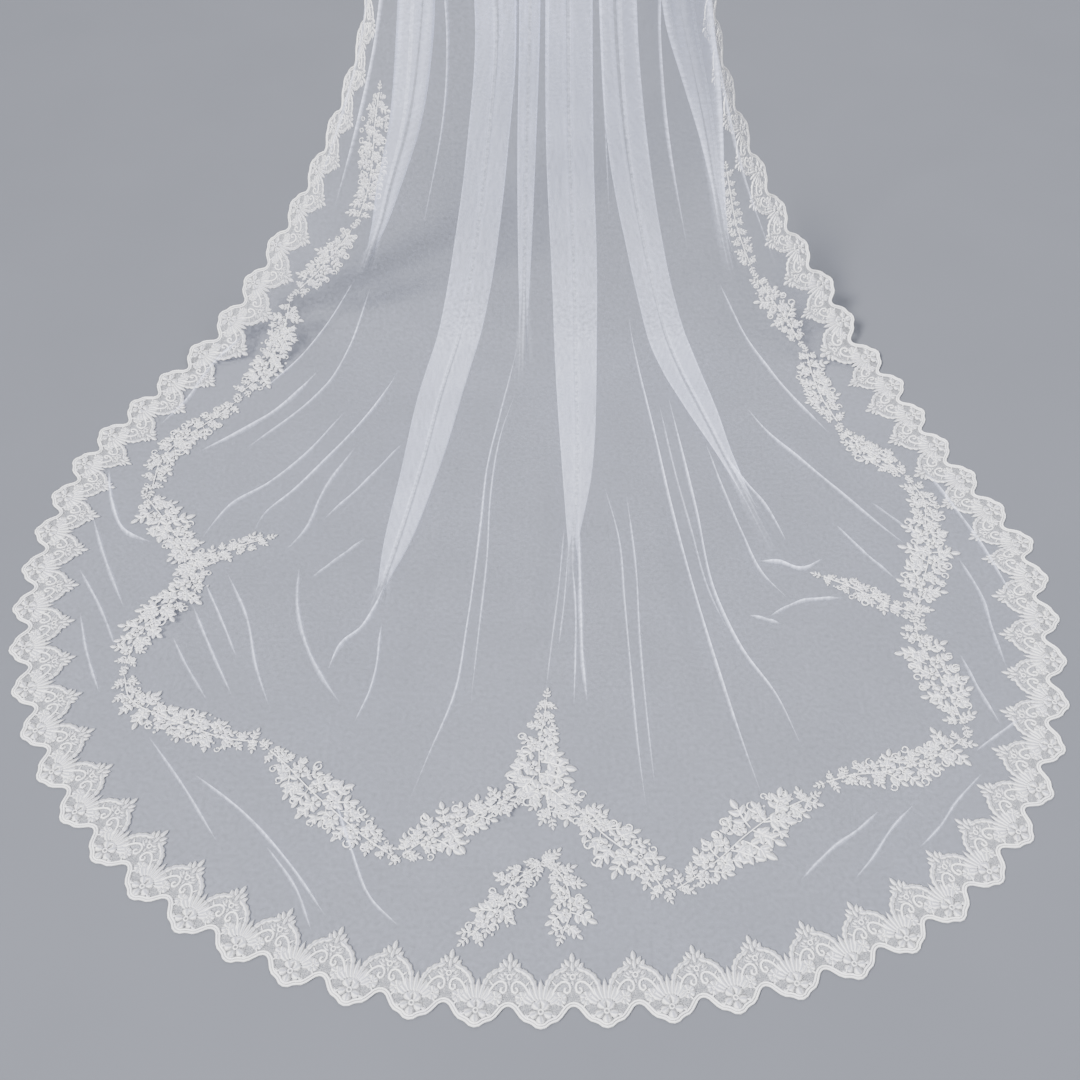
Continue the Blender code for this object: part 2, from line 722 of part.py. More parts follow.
def spray_outline(rows):
    """The closed outline of a spray: leaf tips and notches by turns along both sides of its line."""
    table = np.array(rows, float)
    line = table[:, [SPRAY_X, SPRAY_DOWN]]
    chord = np.concatenate([[0.0], np.cumsum(np.hypot(*np.diff(line, axis=0).T))])
    count = max(4, int(round(chord[-1] / SPRAY_STEP)))
    keyed = np.column_stack([chord, table])
    places = smooth_table(keyed, np.linspace(0, chord[-1], count + 1))[:, 1:]
    line = places[:, [SPRAY_X, SPRAY_DOWN]]
    tangent = unit(np.gradient(line, axis=0))
    side = np.stack([-tangent[:, 1], tangent[:, 0]], axis=1)
    turns = np.arange(count + 1)
    right = places[:, SPRAY_HALF] * np.where(turns % 2 == 0, LEAF_OUT, LEAF_IN)
    left = places[:, SPRAY_HALF] * np.where(turns % 2 == 1, LEAF_OUT, LEAF_IN)
    one = line[1:-1] + side[1:-1] * right[1:-1, None]
    other = line[1:-1] - side[1:-1] * left[1:-1, None]
    return [tuple(p) for p in np.concatenate([line[:1], one, line[-1:], other[::-1]])]


def make_sprays(material):
    for name, rows in SPRAYS.items():
        template, faces = flat_triangles(tuple(spray_outline(rows)), ())
        sewn_on(name, template[:, 0], template[:, 1], faces, SPRAY_THICK, material)


def make_comb(material):
    """A round spine across the head of the veil, with a row of teeth that curve down from it."""
    bm = bmesh.new()
    bmesh.ops.create_cone(
        bm, cap_ends=True, segments=12, radius1=SPINE_RADIUS, radius2=SPINE_RADIUS, depth=COMB_WIDE
    )
    bmesh.ops.rotate(bm, verts=bm.verts, matrix=Matrix.Rotation(math.pi / 2, 3, "Y"))
    mesh = bpy.data.meshes.new("comb")
    bm.to_mesh(mesh)
    bm.free()
    mesh.materials.append(material)
    comb = bpy.data.objects.new("comb", mesh)
    bpy.data.collections["bridal_veil"].objects.link(comb)
    for number in range(TOOTH_COUNT):
        tooth = make_tooth(number)
        union = comb.modifiers.new(tooth.name, "BOOLEAN")
        union.operation = "UNION"
        union.object = tooth


def make_tooth(number):
    """One tooth: rings of six points down a line that bows forward, thinner towards the tip."""
    span = COMB_WIDE - 2 * TOOTH_INSET
    x = -span / 2 + span * number / (TOOTH_COUNT - 1)
    share = np.linspace(0, 1, TOOTH_RINGS)[:, None]
    turn = np.arange(TOOTH_SIDES) * 2 * math.pi / TOOTH_SIDES
    radius = TOOTH_RADIUS * (1 - TOOTH_TAPER * share)
    points = np.stack([
        x + radius * np.cos(turn),
        TOOTH_BOW * share * share + radius * np.sin(turn),
        -TOOTH_LONG * share + 0.0 * turn,
    ], axis=-1).reshape(-1, 3)
    faces = [tuple(range(TOOTH_SIDES)), tuple(reversed(range(len(points) - TOOTH_SIDES, len(points))))]
    for ring in range(TOOTH_RINGS - 1):
        for side in range(TOOTH_SIDES):
            a = ring * TOOTH_SIDES + side
            b = ring * TOOTH_SIDES + (side + 1) % TOOTH_SIDES
            faces.append((a, a + TOOTH_SIDES, b + TOOTH_SIDES, b))
    mesh = bpy.data.meshes.new(f"tooth_{number:02d}")
    mesh.from_pydata([tuple(p) for p in points], [], faces)
    tooth = bpy.data.objects.new(mesh.name, mesh)
    bpy.data.collections["cutters"].objects.link(tooth)
    tooth.hide_render = True
    tooth.display_type = "WIRE"
    return tooth


def finish(name, colour, roughness, metallic, alpha=1.0):
    material = bpy.data.materials.new(name)
    material.use_nodes = True
    shader = material.node_tree.nodes["Principled BSDF"]
    shader.inputs["Base Color"].default_value = (*colour, 1.0)
    shader.inputs["Roughness"].default_value = roughness
    shader.inputs["Metallic"].default_value = metallic
    shader.inputs["Alpha"].default_value = alpha
    return material


def clear_scene():
    for item in list(bpy.data.objects):
        bpy.data.objects.remove(item)
    for name in ("bridal_veil", "cutters"):
        group = bpy.data.collections.new(name)
        bpy.context.scene.collection.children.link(group)


def main():
    clear_scene()
    tulle = finish("soft_tulle", (0.80, 0.80, 0.88), 0.6, 0.0, 0.35)
    lace = finish("white_lace", (0.87, 0.86, 0.90), 0.7, 0.0)
    silver = finish("silver_comb", (0.75, 0.76, 0.78), 0.3, 1.0)
    make_folded_tulle(tulle)
    make_train(tulle)
    make_edging(lace)
    make_sprays(lace)
    make_comb(silver)


main()
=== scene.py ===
"""Looks of the cathedral bridal veil: its sheer tulle with the folds, creases and gathers, the corded
lace along the hem, the lace sprays inside it, and the comb with its stitches.

Metres, +Z up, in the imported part's frame. Every piece of cloth lies on one smooth surface, a function
of two lengths: x, the place from left to right, and down, the way along the cloth from comb to hem.
Lace is drawn in millimetres on the flat, as small raised leaves, petals and cords, and laid on that
surface.
"""

import math

import bpy
import numpy as np
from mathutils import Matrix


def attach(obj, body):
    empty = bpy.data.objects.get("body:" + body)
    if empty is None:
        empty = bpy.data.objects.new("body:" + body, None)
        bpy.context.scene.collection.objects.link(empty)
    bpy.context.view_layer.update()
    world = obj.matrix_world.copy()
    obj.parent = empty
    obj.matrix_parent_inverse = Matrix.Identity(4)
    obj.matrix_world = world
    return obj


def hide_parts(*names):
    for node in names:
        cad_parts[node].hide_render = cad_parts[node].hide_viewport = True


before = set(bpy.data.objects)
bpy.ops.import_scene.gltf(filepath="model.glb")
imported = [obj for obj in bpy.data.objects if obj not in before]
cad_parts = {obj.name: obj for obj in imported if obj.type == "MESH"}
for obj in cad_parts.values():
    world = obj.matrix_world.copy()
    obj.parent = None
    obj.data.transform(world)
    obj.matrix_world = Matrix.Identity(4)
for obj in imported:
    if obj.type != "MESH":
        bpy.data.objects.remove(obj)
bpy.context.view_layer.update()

# Sizes shared with the solids
COMB_HEIGHT = 1.68
TULLE_THICK = 0.001
CLOTH_LENGTH = 3.0
TRAIN_START = 2.23
TRAIN_LONG = 0.762
TRAIN_MIDDLE = -0.015
TRAIN_HALF_WIDTH = 0.809
FULLNESS_LEFT = 2.05
FULLNESS_RIGHT = 2.45
LACE_TOP = 0.78
LACE_ON_TULLE = 0.048
LACE_LEAD = 0.12
HEM_SPARE = 0.04
LACE_REPEATS = 68
LACE_LENGTHS = {"lace_edge_left": (0, 22), "lace_edge_end": (22, 46), "lace_edge_right": (46, 68)}
LACE_GAP = 0.0009  # from the middle of the tulle to the underside of the lace
FIRST_FLOWER = 0.12  # where the first big flower stands, in repeats from the lace's end
NET_GAP = -0.0002

# The tables are in mm. Levels: the way down the cloth, then y and height at the middle, x of both
# edges, y and height at the edges.
Y_MID, H_MID, X_LEFT, X_RIGHT, Y_EDGE, H_EDGE = range(1, 7)
LEVELS = (
    (0, -3.6, 1680, -50, 50, -3.6, 1680),
    (80, -52, 1622, -88, 88, 4, 1600),
    (220, -85, 1490, -150, 150, 75, 1400),
    (420, -95, 1290, -212, 210, 125, 1150),
    (700, -100, 1010, -254, 250, 142, 860),
    (1100, -105, 610, -320, 308, 112, 462),
    (1340, -112, 375, -417, 397, 38, 256),
    (1520, -128, 205, -510, 490, -45, 128),
    (1640, -160, 92, -578, 560, -116, 58),
    (1720, -205, 30, -624, 590, -172, 22),
    (1800, -270, 4, -675, 634, -238, 2),
    (1900, -370, 0, -735, 668, -345, 0),
    (2000, -470, 0, -790, 705, -456, 0),
    (2100, -570, 0, -816, 750, -568, 0),
    (2230, -700, 0, -824, 794, -700, 0),
    (2400, -870, 0, -824, 794, -870, 0),
    (3000, -1470, 0, -824, 794, -1470, 0),
)
SIDE_TURN = 2.8

# The rows of the tulle's grid and where they change
FOLDS_END = 2.35
HANGING_ROWS = 44
LANDING_ROWS = 100
TRAIN_ROWS = 38
LANDING_START = 1.10

# Folds: the way down the cloth, x of the middle, width
FOLD_CENTRE, FOLD_WIDTH = 1, 2
FOLDS = {
    "far_left": (
        (0, -41, 11), (300, -115, 35), (700, -165, 48), (1100, -189, 58), (1300, -227, 52),
        (1410, -262, 42), (1500, -289, 24), (1560, -314, 8), (1630, -345, 0), (1800, -420, 0),
        (2100, -500, 0), (2350, -540, 0)),
    "left": (
        (0, -24.5, 11), (300, -58, 33), (700, -71, 46), (1100, -71, 60), (1330, -91, 68), (1640, -137, 78),
        (1810, -174, 78), (2060, -209, 62), (2230, -238, 36), (2300, -252, 12), (2350, -262, 0)),
    "mid_left": (
        (0, -8.2, 10), (300, -19, 22), (700, -23, 29), (1100, -20.5, 32), (1330, -27, 31), (1640, -34, 18),
        (1840, -38, 0)),
    "mid_right": (
        (0, 8.2, 11), (300, 24, 34), (700, 34, 54), (1100, 38, 70), (1330, 44, 78), (1640, 58, 80),
        (1860, 60, 70), (2060, 57, 48), (2230, 47, 12), (2300, 46, 0)),
    "right": (
        (0, 24.5, 11), (300, 70, 33), (700, 98, 46), (1100, 110, 54), (1330, 139, 66), (1650, 208, 67),
        (1750, 236, 71), (1890, 277, 54), (2010, 310, 26), (2130, 345, 10), (2240, 378, 0)),
    "far_right": (
        (0, 41, 11), (300, 120, 35), (700, 172, 58), (1100, 222, 86), (1220, 256, 64), (1310, 279, 42),
        (1400, 298, 24), (1540, 330, 10), (1630, 360, 0), (1800, 430, 0), (2100, 490, 0), (2350, 530, 0)),
}
FOLD_HEIGHTS = ((0, 10), (300, 22), (700, 30), (1100, 28), (1400, 20), (1700, 14), (2400, 11))
HEIGHT = 1
NECK_HALF = 0.0025
UNDER_SHARE = 0.42  # the height of the layer below, as a share of the fold's
ROLL_SHARE = 0.9
ROLL_TURNS = (90, 50, 15, -20, -55, -90)
BACK_SHARES = (0.34, 0.67)
NECK_TURNS = (90, 135, 180, 225, 270)
FULL_FOLD_WIDTH = 0.022  # a fold this wide or wider is closed
OPEN_HALF = 0.016  # half the width of the ridge that an opened fold lies down to
FOLD_SHARE = 0.11  # room for one fold, as a share of the width of the cloth there
# Gathers between the folds: how far down they are whole, and over what length they fade
GATHERS_KEEP = 0.12
GATHERS_FADE = 0.75
GATHER_DIP = 0.30  # as a share of the folds' height
GATHER_RIPPLE = 0.0016
# The grid's columns from each fold, and from the right edge, back to the fold before it
GAP_COLUMNS = {
    "far_left": 40, "left": 46, "mid_left": 34, "mid_right": 12, "right": 56, "far_right": 24, "edge": 38
}

# How much of the light one layer of tulle stops
FLAT_DENSITY = 0.075
BAND_DENSITY = 0.175
EDGE_DENSITY = 0.62
CREASE_DENSITY = 0.135  # for each millimetre of its height
GATHERED_WIDTH = 1.5  # the cloth's full width: where it runs narrower it is gathered, so denser
MOST_GATHERED = 2.2

# Creases: thin pinched lines in the tulle. Height, width, then the line as x, down.
CREASES = (
    # below the folds' ends
    (5, 6, ((-43, 1710), (-75, 1900), (-94, 2030), (-101, 2160), (-116, 2370), (-130, 2500), (-161, 2600),
        (-189, 2690))),
    (4, 5, ((-45, 1830), (-71, 1940), (-87, 2100), (-89, 2230), (-100, 2420), (-106, 2520))),
    (3, 4, ((36, 2150), (23, 2310), (11, 2420), (3, 2500))),
    (3, 4, ((40, 2220), (32, 2330), (22, 2420))),
    (4, 5, ((46, 2240), (50, 2330), (48, 2430), (44, 2520))),
    (5, 9, ((58, 2140), (58, 2280), (58, 2400), (64, 2520))),
    (4, 5, ((100, 2060), (123, 2200), (126, 2320), (129, 2430), (135, 2610), (141, 2700))),
    (4, 5, ((138, 2080), (147, 2270), (146, 2380), (148, 2500), (154, 2660))),
    # on the right
    (6, 6, ((153, 1650), (173, 1780), (195, 1960), (211, 2120), (244, 2360), (284, 2590), (305, 2690))),
    (6, 6, ((222, 1840), (239, 2000), (252, 2130), (270, 2320), (300, 2420), (340, 2500), (367, 2600))),
    (3, 5, ((205, 1860), (224, 2050), (240, 2170), (260, 2310), (284, 2390))),
    (5, 5, ((280, 1970), (302, 2090), (322, 2180), (347, 2270), (382, 2320))),
    (5, 6, ((305, 1990), (331, 2050), (367, 2120), (392, 2200))),
    (5, 6, ((316, 1600), (364, 1700), (409, 1790), (453, 1880), (500, 1960))),
    (5, 5, ((357, 1880), (390, 1950), (437, 2020), (512, 2120), (586, 2210))),
    (3, 5, ((540, 2110), (574, 2150), (607, 2190))),
    (4, 5, ((475, 2160), (511, 2220), (555, 2280))),
    # crumples beside the right fold's end
    (6, 8, ((340, 2240), (379, 2244), (406, 2257), (445, 2235))),
    (6, 6, ((345, 2353), (398, 2324), (464, 2316))),
    (5, 6, ((316, 2350), (338, 2358), (362, 2367))),
    # by the hem on the right
    (5, 6, ((640, 2030), (668, 2100), (707, 2220), (729, 2320))),
    (4, 7, ((660, 2230), (681, 2320), (682, 2380), (687, 2450))),
    (4, 6, ((622, 2420), (640, 2500), (655, 2550))),
    # by the foot of the right garland
    (5, 6, ((686, 2540), (640, 2573), (610, 2595))),
    (5, 6, ((612, 2630), (563, 2680), (531, 2720), (500, 2748))),
    (5, 6, ((507, 2680), (468, 2720), (438, 2760), (408, 2793))),
    (5, 7, ((458, 2690), (424, 2720), (390, 2744), (336, 2795))),
    # on the left
    (6, 8, ((-248, 2290), (-258, 2330), (-277, 2375), (-302, 2403), (-320, 2455))),
    (5, 6, ((-246, 2360), (-253, 2490), (-272, 2550))),
    (5, 5, ((-340, 1600), (-369, 1650), (-414, 1720), (-459, 1790), (-505, 1850))),
    (6, 8, ((-405, 1790), (-458, 1880), (-508, 1935), (-590, 2000))),
    (5, 6, ((-310, 1610), (-354, 1740), (-388, 1830), (-445, 1915), (-515, 1995))),
    (5, 6, ((-345, 1890), (-417, 2020), (-460, 2070), (-515, 2120), (-537, 2160), (-553, 2200))),
    (6, 6, ((-258, 1780), (-304, 1900), (-355, 2000), (-413, 2090), (-456, 2140), (-470, 2180))),
    (5, 6, ((-240, 1970), (-307, 2080), (-360, 2153))),
    (4, 8, ((-320, 1980), (-368, 2100), (-384, 2170), (-416, 2225))),
    (4, 7, ((-285, 2190), (-331, 2240), (-364, 2275))),
    (4, 9, ((-386, 2250), (-379, 2330), (-355, 2410), (-326, 2467), (-294, 2515))),
    (4, 7, ((-500, 2260), (-454, 2353), (-424, 2453), (-397, 2520))),
    (4, 6, ((-529, 2285), (-490, 2362), (-458, 2430))),
    (4, 6, ((-559, 2395), (-529, 2448), (-488, 2510))),
    (4, 7, ((-541, 2330), (-492, 2428), (-454, 2500))),
    # by the hem on the left
    (6, 9, ((-734, 2040), (-710, 2115), (-672, 2180), (-630, 2200))),
    (4, 8, ((-738, 2140), (-701, 2225), (-646, 2335))),
    (4, 7, ((-733, 2255), (-678, 2342), (-642, 2412))),
    (4, 7, ((-711, 2345), (-680, 2428), (-648, 2496))),
    (5, 8, ((-545, 1710), (-607, 1804), (-631, 1876), (-668, 1940))),
    # by the foot of the left garland
    (5, 6, ((-490, 2630), (-405, 2697), (-335, 2772), (-278, 2848))),
    (4, 6, ((-562, 2570), (-494, 2657), (-436, 2740))),
    (5, 6, ((-288, 2667), (-256, 2750), (-223, 2822), (-184, 2860))),
    (4, 6, ((-370, 2745), (-322, 2808), (-296, 2866))),
    # along the hanging part
    (5, 7, ((-98, 300), (-128, 600), (-145, 950), (-160, 1250), (-215, 1520))),
    (6, 8, ((-185, 420), (-215, 750), (-262, 1050), (-318, 1280), (-375, 1460))),
    (5, 6, ((0, 180), (4, 600), (8, 1000), (8, 1380))),
    (4, 6, ((52, 260), (68, 600), (80, 950), (98, 1220), (118, 1500))),
    (6, 8, ((138, 340), (158, 700), (176, 1020), (205, 1280), (262, 1560))),
    (5, 7, ((205, 500), (226, 850), (290, 1120), (350, 1360), (428, 1580))),
    (4, 6, ((-44, 240), (-44, 620), (-40, 980), (-48, 1300))),
    (4, 6, ((-232, 620), (-282, 1000), (-352, 1260), (-430, 1470))),
)
CREASE_STEP = 0.007
CREASE_TAPER = 0.24  # the share of its length over which it rises at each end
CREASE_WOBBLE = 0.18
CREASE_PROFILE = ((-1.0, 0.0), (-0.45, 0.45), (0.0, 1.0), (0.45, 0.45), (1.0, 0.0))

# Broad soft swells: height, half width, then the line as x, down
SWELLS = (
    (5, 20, ((-150, 1950), (-170, 2150), (-215, 2400), (-235, 2600))),
    (6, 24, ((0, 1950), (-10, 2200), (-30, 2450))),
    (5, 22, ((180, 2050), (190, 2300), (220, 2550))),
    (7, 30, ((-300, 1850), (-380, 2050), (-450, 2200))),
    (6, 28, ((400, 1900), (460, 2050), (540, 2200))),
    (6, 30, ((-600, 2200), (-560, 2380), (-480, 2550))),
    (5, 30, ((450, 2400), (400, 2550), (330, 2680))),
    (5, 26, ((-60, 2600), (-40, 2750), (-10, 2860))),
    (7, 22, ((-120, 400), (-130, 800), (-150, 1150))),
    (7, 24, ((145, 400), (150, 800), (170, 1150))),
    (6, 20, ((-225, 550), (-250, 850), (-300, 1150))),
    (6, 20, ((225, 550), (250, 850), (310, 1150))),
)

# Lace sprays: the line that each follows, from x and down, and half its width there
SPRAY_HALF = 2
SPRAYS = {
    "spray_left_top": (
        (-276, 1225, 8), (-286, 1280, 26), (-293, 1340, 31), (-304, 1410, 25), (-327, 1478, 15)),
    "spray_left_high": (
        (-341, 1500, 14), (-364, 1532, 24), (-388, 1560, 26), (-416, 1592, 22), (-446, 1621, 12)),
    "spray_left_mid": (
        (-464, 1648, 10), (-474, 1700, 26), (-492, 1760, 30), (-518, 1825, 23), (-540, 1857, 10)),
    "spray_left_low": (
        (-546, 1880, 10), (-572, 1915, 20), (-606, 1952, 24), (-638, 1992, 24), (-652, 2040, 18),
        (-652, 2085, 9)),
    "spray_left_knot": (
        (-655, 2104, 12), (-634, 2130, 34), (-602, 2173, 34), (-570, 2218, 30), (-550, 2263, 26),
        (-562, 2315, 30), (-592, 2350, 32), (-615, 2400, 24), (-620, 2445, 12)),
    "spray_left_branch": ((-518, 2226, 10), (-502, 2217, 18), (-478, 2205, 15), (-446, 2192, 4)),
    "spray_left_foot": (
        (-618, 2465, 12), (-602, 2505, 20), (-557, 2533, 26), (-504, 2555, 30), (-456, 2573, 22),
        (-402, 2580, 6)),
    "spray_left_hem": (
        (-388, 2592, 8), (-360, 2618, 22), (-322, 2658, 38), (-278, 2698, 34), (-236, 2734, 22),
        (-208, 2755, 8)),
    "spray_centre_left": (
        (-190, 2760, 8), (-168, 2742, 26), (-128, 2718, 32), (-92, 2698, 28), (-62, 2682, 10)),
    "spray_centre": (
        (5, 2505, 4), (1, 2542, 16), (-6, 2585, 30), (-6, 2630, 42), (4, 2668, 36), (10, 2702, 12)),
    "spray_centre_right": (
        (58, 2700, 10), (78, 2724, 36), (112, 2754, 34), (140, 2782, 22), (158, 2812, 10)),
    "spray_right_hem": (
        (172, 2808, 8), (196, 2792, 16), (230, 2766, 28), (272, 2728, 40), (321, 2692, 32),
        (366, 2670, 12)),
    "spray_right_foot": (
        (390, 2647, 6), (426, 2635, 16), (470, 2630, 26), (519, 2618, 34), (567, 2595, 28),
        (598, 2572, 12)),
    "spray_right_rise": (
        (602, 2552, 12), (594, 2507, 28), (582, 2453, 38), (568, 2407, 26), (566, 2366, 10)),
    "spray_right_branch": ((438, 2272, 4), (470, 2288, 14), (508, 2312, 24), (536, 2330, 10)),
    "spray_right_knot": (
        (574, 2346, 10), (592, 2290, 30), (616, 2225, 34), (622, 2163, 30), (630, 2107, 20),
        (618, 2072, 10)),
    "spray_right_low": ((609, 2054, 10), (583, 2022, 24), (549, 1990, 26), (521, 1952, 10)),
    "spray_right_mid": ((516, 1930, 12), (498, 1875, 26), (488, 1812, 28), (482, 1757, 12)),
    "spray_right_high": ((470, 1730, 10), (448, 1683, 24), (418, 1640, 26), (392, 1600, 9)),
    "spray_right_top": ((378, 1575, 10), (360, 1530, 14), (344, 1480, 14), (332, 1420, 10), (324, 1375, 6)),
    "spray_small_left": (
        (-2, 2768, 8), (-20, 2783, 16), (-43, 2802, 22), (-56, 2830, 25), (-74, 2853, 22), (-96, 2873, 8)),
    "spray_small_right": ((14, 2776, 8), (26, 2793, 18), (34, 2820, 22), (33, 2846, 24), (24, 2868, 10)),
}
# Thin branches that join a spray to the next one
BRANCHES = {
    "spray_centre": (
        ((-12, 2650, 20), (-40, 2668, 20), (-66, 2684, 16)),
        ((14, 2662, 20), (40, 2682, 22), (62, 2704, 18)),
    ),
    "spray_small_left": (
        ((-2, 2768, 8), (6, 2764, 10), (14, 2770, 8)),
    ),
    "spray_left_branch": (
        ((-556, 2246, 14), (-538, 2238, 16), (-520, 2228, 14)),
    ),
    "spray_right_branch": (
        ((534, 2329, 14), (550, 2336, 15), (568, 2344, 14)),
    ),
}
FLOWER_STEP = 0.0175
BUD_STEP = 0.0095
STEM_STEP = 0.006
STEM_HALF = 0.0010
STEM_RAISED = 0.0012
# What stands on both sides of a spray's line, and how far each value varies: the kind, the step, how
# far out as a share of the half width, the turn from the line, and the size with the half width that
# makes it one larger
SIDE_SHAPES = (
    ("twig", 0.021, (0.16, 0.12), (1.05, 0.50), (0.42, 0.040, 0.30)),
    ("sprig", 0.0205, (0.50, 0.22), (1.20, 0.90), (0.42, 0.060, 0.25)),
    ("curl", 0.021, (0.72, 0.26), (0.00, 3.10), (0.45, 0.070, 0.20)),
)
TIP_SIZE = 0.72
NO_PARTING_SHADE = 2  # added to the thread places of cords, so the painted shade down the middle of leaves and petals misses them
THREAD_UNIT = 0.004  # the length along a cord that its thread places count as one
CORD_UNDER = 0.00015

# One repeat of the lace, in mm: across from the middle of the valley, and in from the scallops
HALF_REPEAT_MM = 40.5
# The scallops' cord: its right half, from the valley's middle to a little past the join
HEM_CORD_HALF = (
    (0, 31), (4.5, 30), (9, 26.8), (13, 21.5), (17, 16.2), (21.5, 12.2), (27, 10.4), (31, 8.4),
    (35.5, 4.6), (40.5, 3.4), (41.1, 3.38))
HEM_CORD = tuple((-across, inward) for across, inward in HEM_CORD_HALF[:0:-1]) + HEM_CORD_HALF
GROUND_TOP = ((0, 92), (4, 88), (10, 81), (19, 72), (28, 62), (33, 52), (37, 52), (40.5, 58))
SCROLL = ((27.5, 39.0), (24.5, 47.5), (20.0, 54.5), (14.5, 59.0), (9.0, 59.8), (4.8, 56.8), (3.4, 51.5),
          (4.6, 46.6), (8.0, 44.8), (11.0, 47.0), (10.4, 50.6), (7.8, 51.6))
# Leaves: from x, in, to x, in, width, bow to the side
VALLEY_LEAVES = (
    (34.0, 46.0, 31.0, 57.0, 7.6, 1.0),
    (33.0, 53.0, 26.5, 64.5, 8.4, 1.4),
    (29.5, 60.5, 21.0, 71.0, 8.6, 1.4),
    (24.0, 67.0, 13.0, 75.0, 8.6, 1.4),
    (17.0, 72.0, 5.0, 77.5, 8.0, 1.0),
    (9.5, 75.0, 14.5, 84.0, 6.6, -0.8),
    (4.0, 78.5, 10.2, 89.0, 6.4, -0.6),
    (8.5, 71.5, 2.0, 68.0, 5.0, 0.0),
    (12.0, 70.0, 8.0, 64.5, 4.4, 0.4),
)
VALLEY_MIDDLE_LEAVES = (
    (0.0, 84.0, 0.0, 97.5, 7.6, 0.0), (0.0, 72.5, 0.0, 86.0, 6.0, 0.0), (0.0, 61.0, 0.0, 54.5, 3.6, 0.0))
FAN_LEAVES = (
    (2.6, 35.0, 7.6, 58.5, 7.2, 0.8),
    (5.6, 34.5, 14.2, 54.0, 7.8, 1.2),
    (8.4, 33.5, 20.4, 48.0, 8.2, 1.2),
    (10.4, 31.0, 25.0, 41.5, 7.4, 1.0),
)
FAN_MIDDLE_LEAVES = ((0.0, 34.0, 0.0, 63.5, 7.4, 0.0),)


def metres(rows):
    """A table in mm, in metres."""
    return np.array(rows, float) / 1000


def along_line(line):
    """The length along a line's places, from the first two columns."""
    return np.concatenate([[0.0], np.cumsum(np.hypot(*np.diff(line[:, :2], axis=0).T))])


def smooth_table(rows, where):
    """Every column of a table at the given places: between two rows it is the cubic that has the
    rows' values and the mean slope of the rows on both sides, and flat stretches stay flat."""
    table = np.array(rows, float)
    keys = table[:, 0]
    slopes = np.gradient(table, keys, axis=0)
    flat = table[1:] == table[:-1]
    slopes[1:][flat] = 0.0
    slopes[:-1][flat] = 0.0
    where = np.clip(np.asarray(where, float), keys[0], keys[-1])
    k = np.clip(np.searchsorted(keys, where, side="right") - 1, 0, len(keys) - 2)
    span = keys[k + 1] - keys[k]
    t = ((where - keys[k]) / span)[..., None]
    span = span[..., None]
    start = table[k] * (1 + 2 * t) * (1 - t) ** 2 + slopes[k] * span * t * (1 - t) ** 2
    end = table[k + 1] * (3 - 2 * t) * t ** 2 + slopes[k + 1] * span * t ** 2 * (t - 1)
    return start + end


def ease(t):
    """From 0 to 1, level at both ends."""
    t = np.clip(t, 0.0, 1.0)
    return t * t * (3 - 2 * t)


def unit(vectors):
    return vectors / np.maximum(np.linalg.norm(vectors, axis=-1, keepdims=True), 1e-12)


def follow(line, share):
    """Places at the given shares of a line's length, and the way ahead at each."""
    chord = along_line(line)
    places = smooth_table(np.column_stack([chord, line]), share * chord[-1])[:, 1:]
    return places, unit(np.gradient(places[:, :2], axis=0))


def base(x, down):
    """The unfolded surface: at each level the cloth runs from x_left to x_right, and its y and
    height pass from the middle's to the edges' values with a power of the distance out."""
    x, down = np.broadcast_arrays(np.asarray(x, float), np.asarray(down, float))
    level = smooth_table(metres(LEVELS), down)
    out = (2 * x - level[..., X_LEFT] - level[..., X_RIGHT]) / (level[..., X_RIGHT] - level[..., X_LEFT])
    turn = np.abs(out) ** SIDE_TURN
    y = level[..., Y_MID] + (level[..., Y_EDGE] - level[..., Y_MID]) * turn
    height = level[..., H_MID] + (level[..., H_EDGE] - level[..., H_MID]) * turn
    return np.stack([x, y, np.maximum(height, 0.0) + TULLE_THICK / 2 - COMB_HEIGHT], axis=-1)


def base_normal(x, down):
    """Straight out of the surface: up on the floor, and backwards where the cloth hangs."""
    step = 0.004
    along_x = base(x + step, down) - base(x - step, down)
    along_down = base(x, np.minimum(down + step, CLOTH_LENGTH)) - base(x, np.maximum(down - step, 0.0))
    return unit(np.cross(along_down, along_x))


def x_metric(x, down):
    """Length on the cloth for each unit of x."""
    step = 0.002
    return np.linalg.norm(base(x + step, down) - base(x - step, down), axis=-1) / (2 * step)


def swell(x, down):
    """Height of the broad soft swells: each is a bell across its line, and dies away at its ends."""
    total = np.zeros(np.broadcast(x, down).shape)
    for high, half, line in SWELLS:
        line = metres(line)
        place = np.interp(down, line[:, 1], line[:, 0])
        first, last = line[0, 1], line[-1, 1]
        ends = ease((down - first) / 0.12) * ease((last - down) / 0.12)
        total = total + high / 1000 * ends * np.exp(-(((x - place) / (half / 1000)) ** 2))
    return total


def on_cloth(x, down, out):
    """The point that lies out from the surface at x and down, on top of the swells."""
    x, down = np.broadcast_arrays(np.asarray(x, float), np.asarray(down, float))
    return base(x, down) + base_normal(x, down) * (swell(x, down) + out)[..., None]


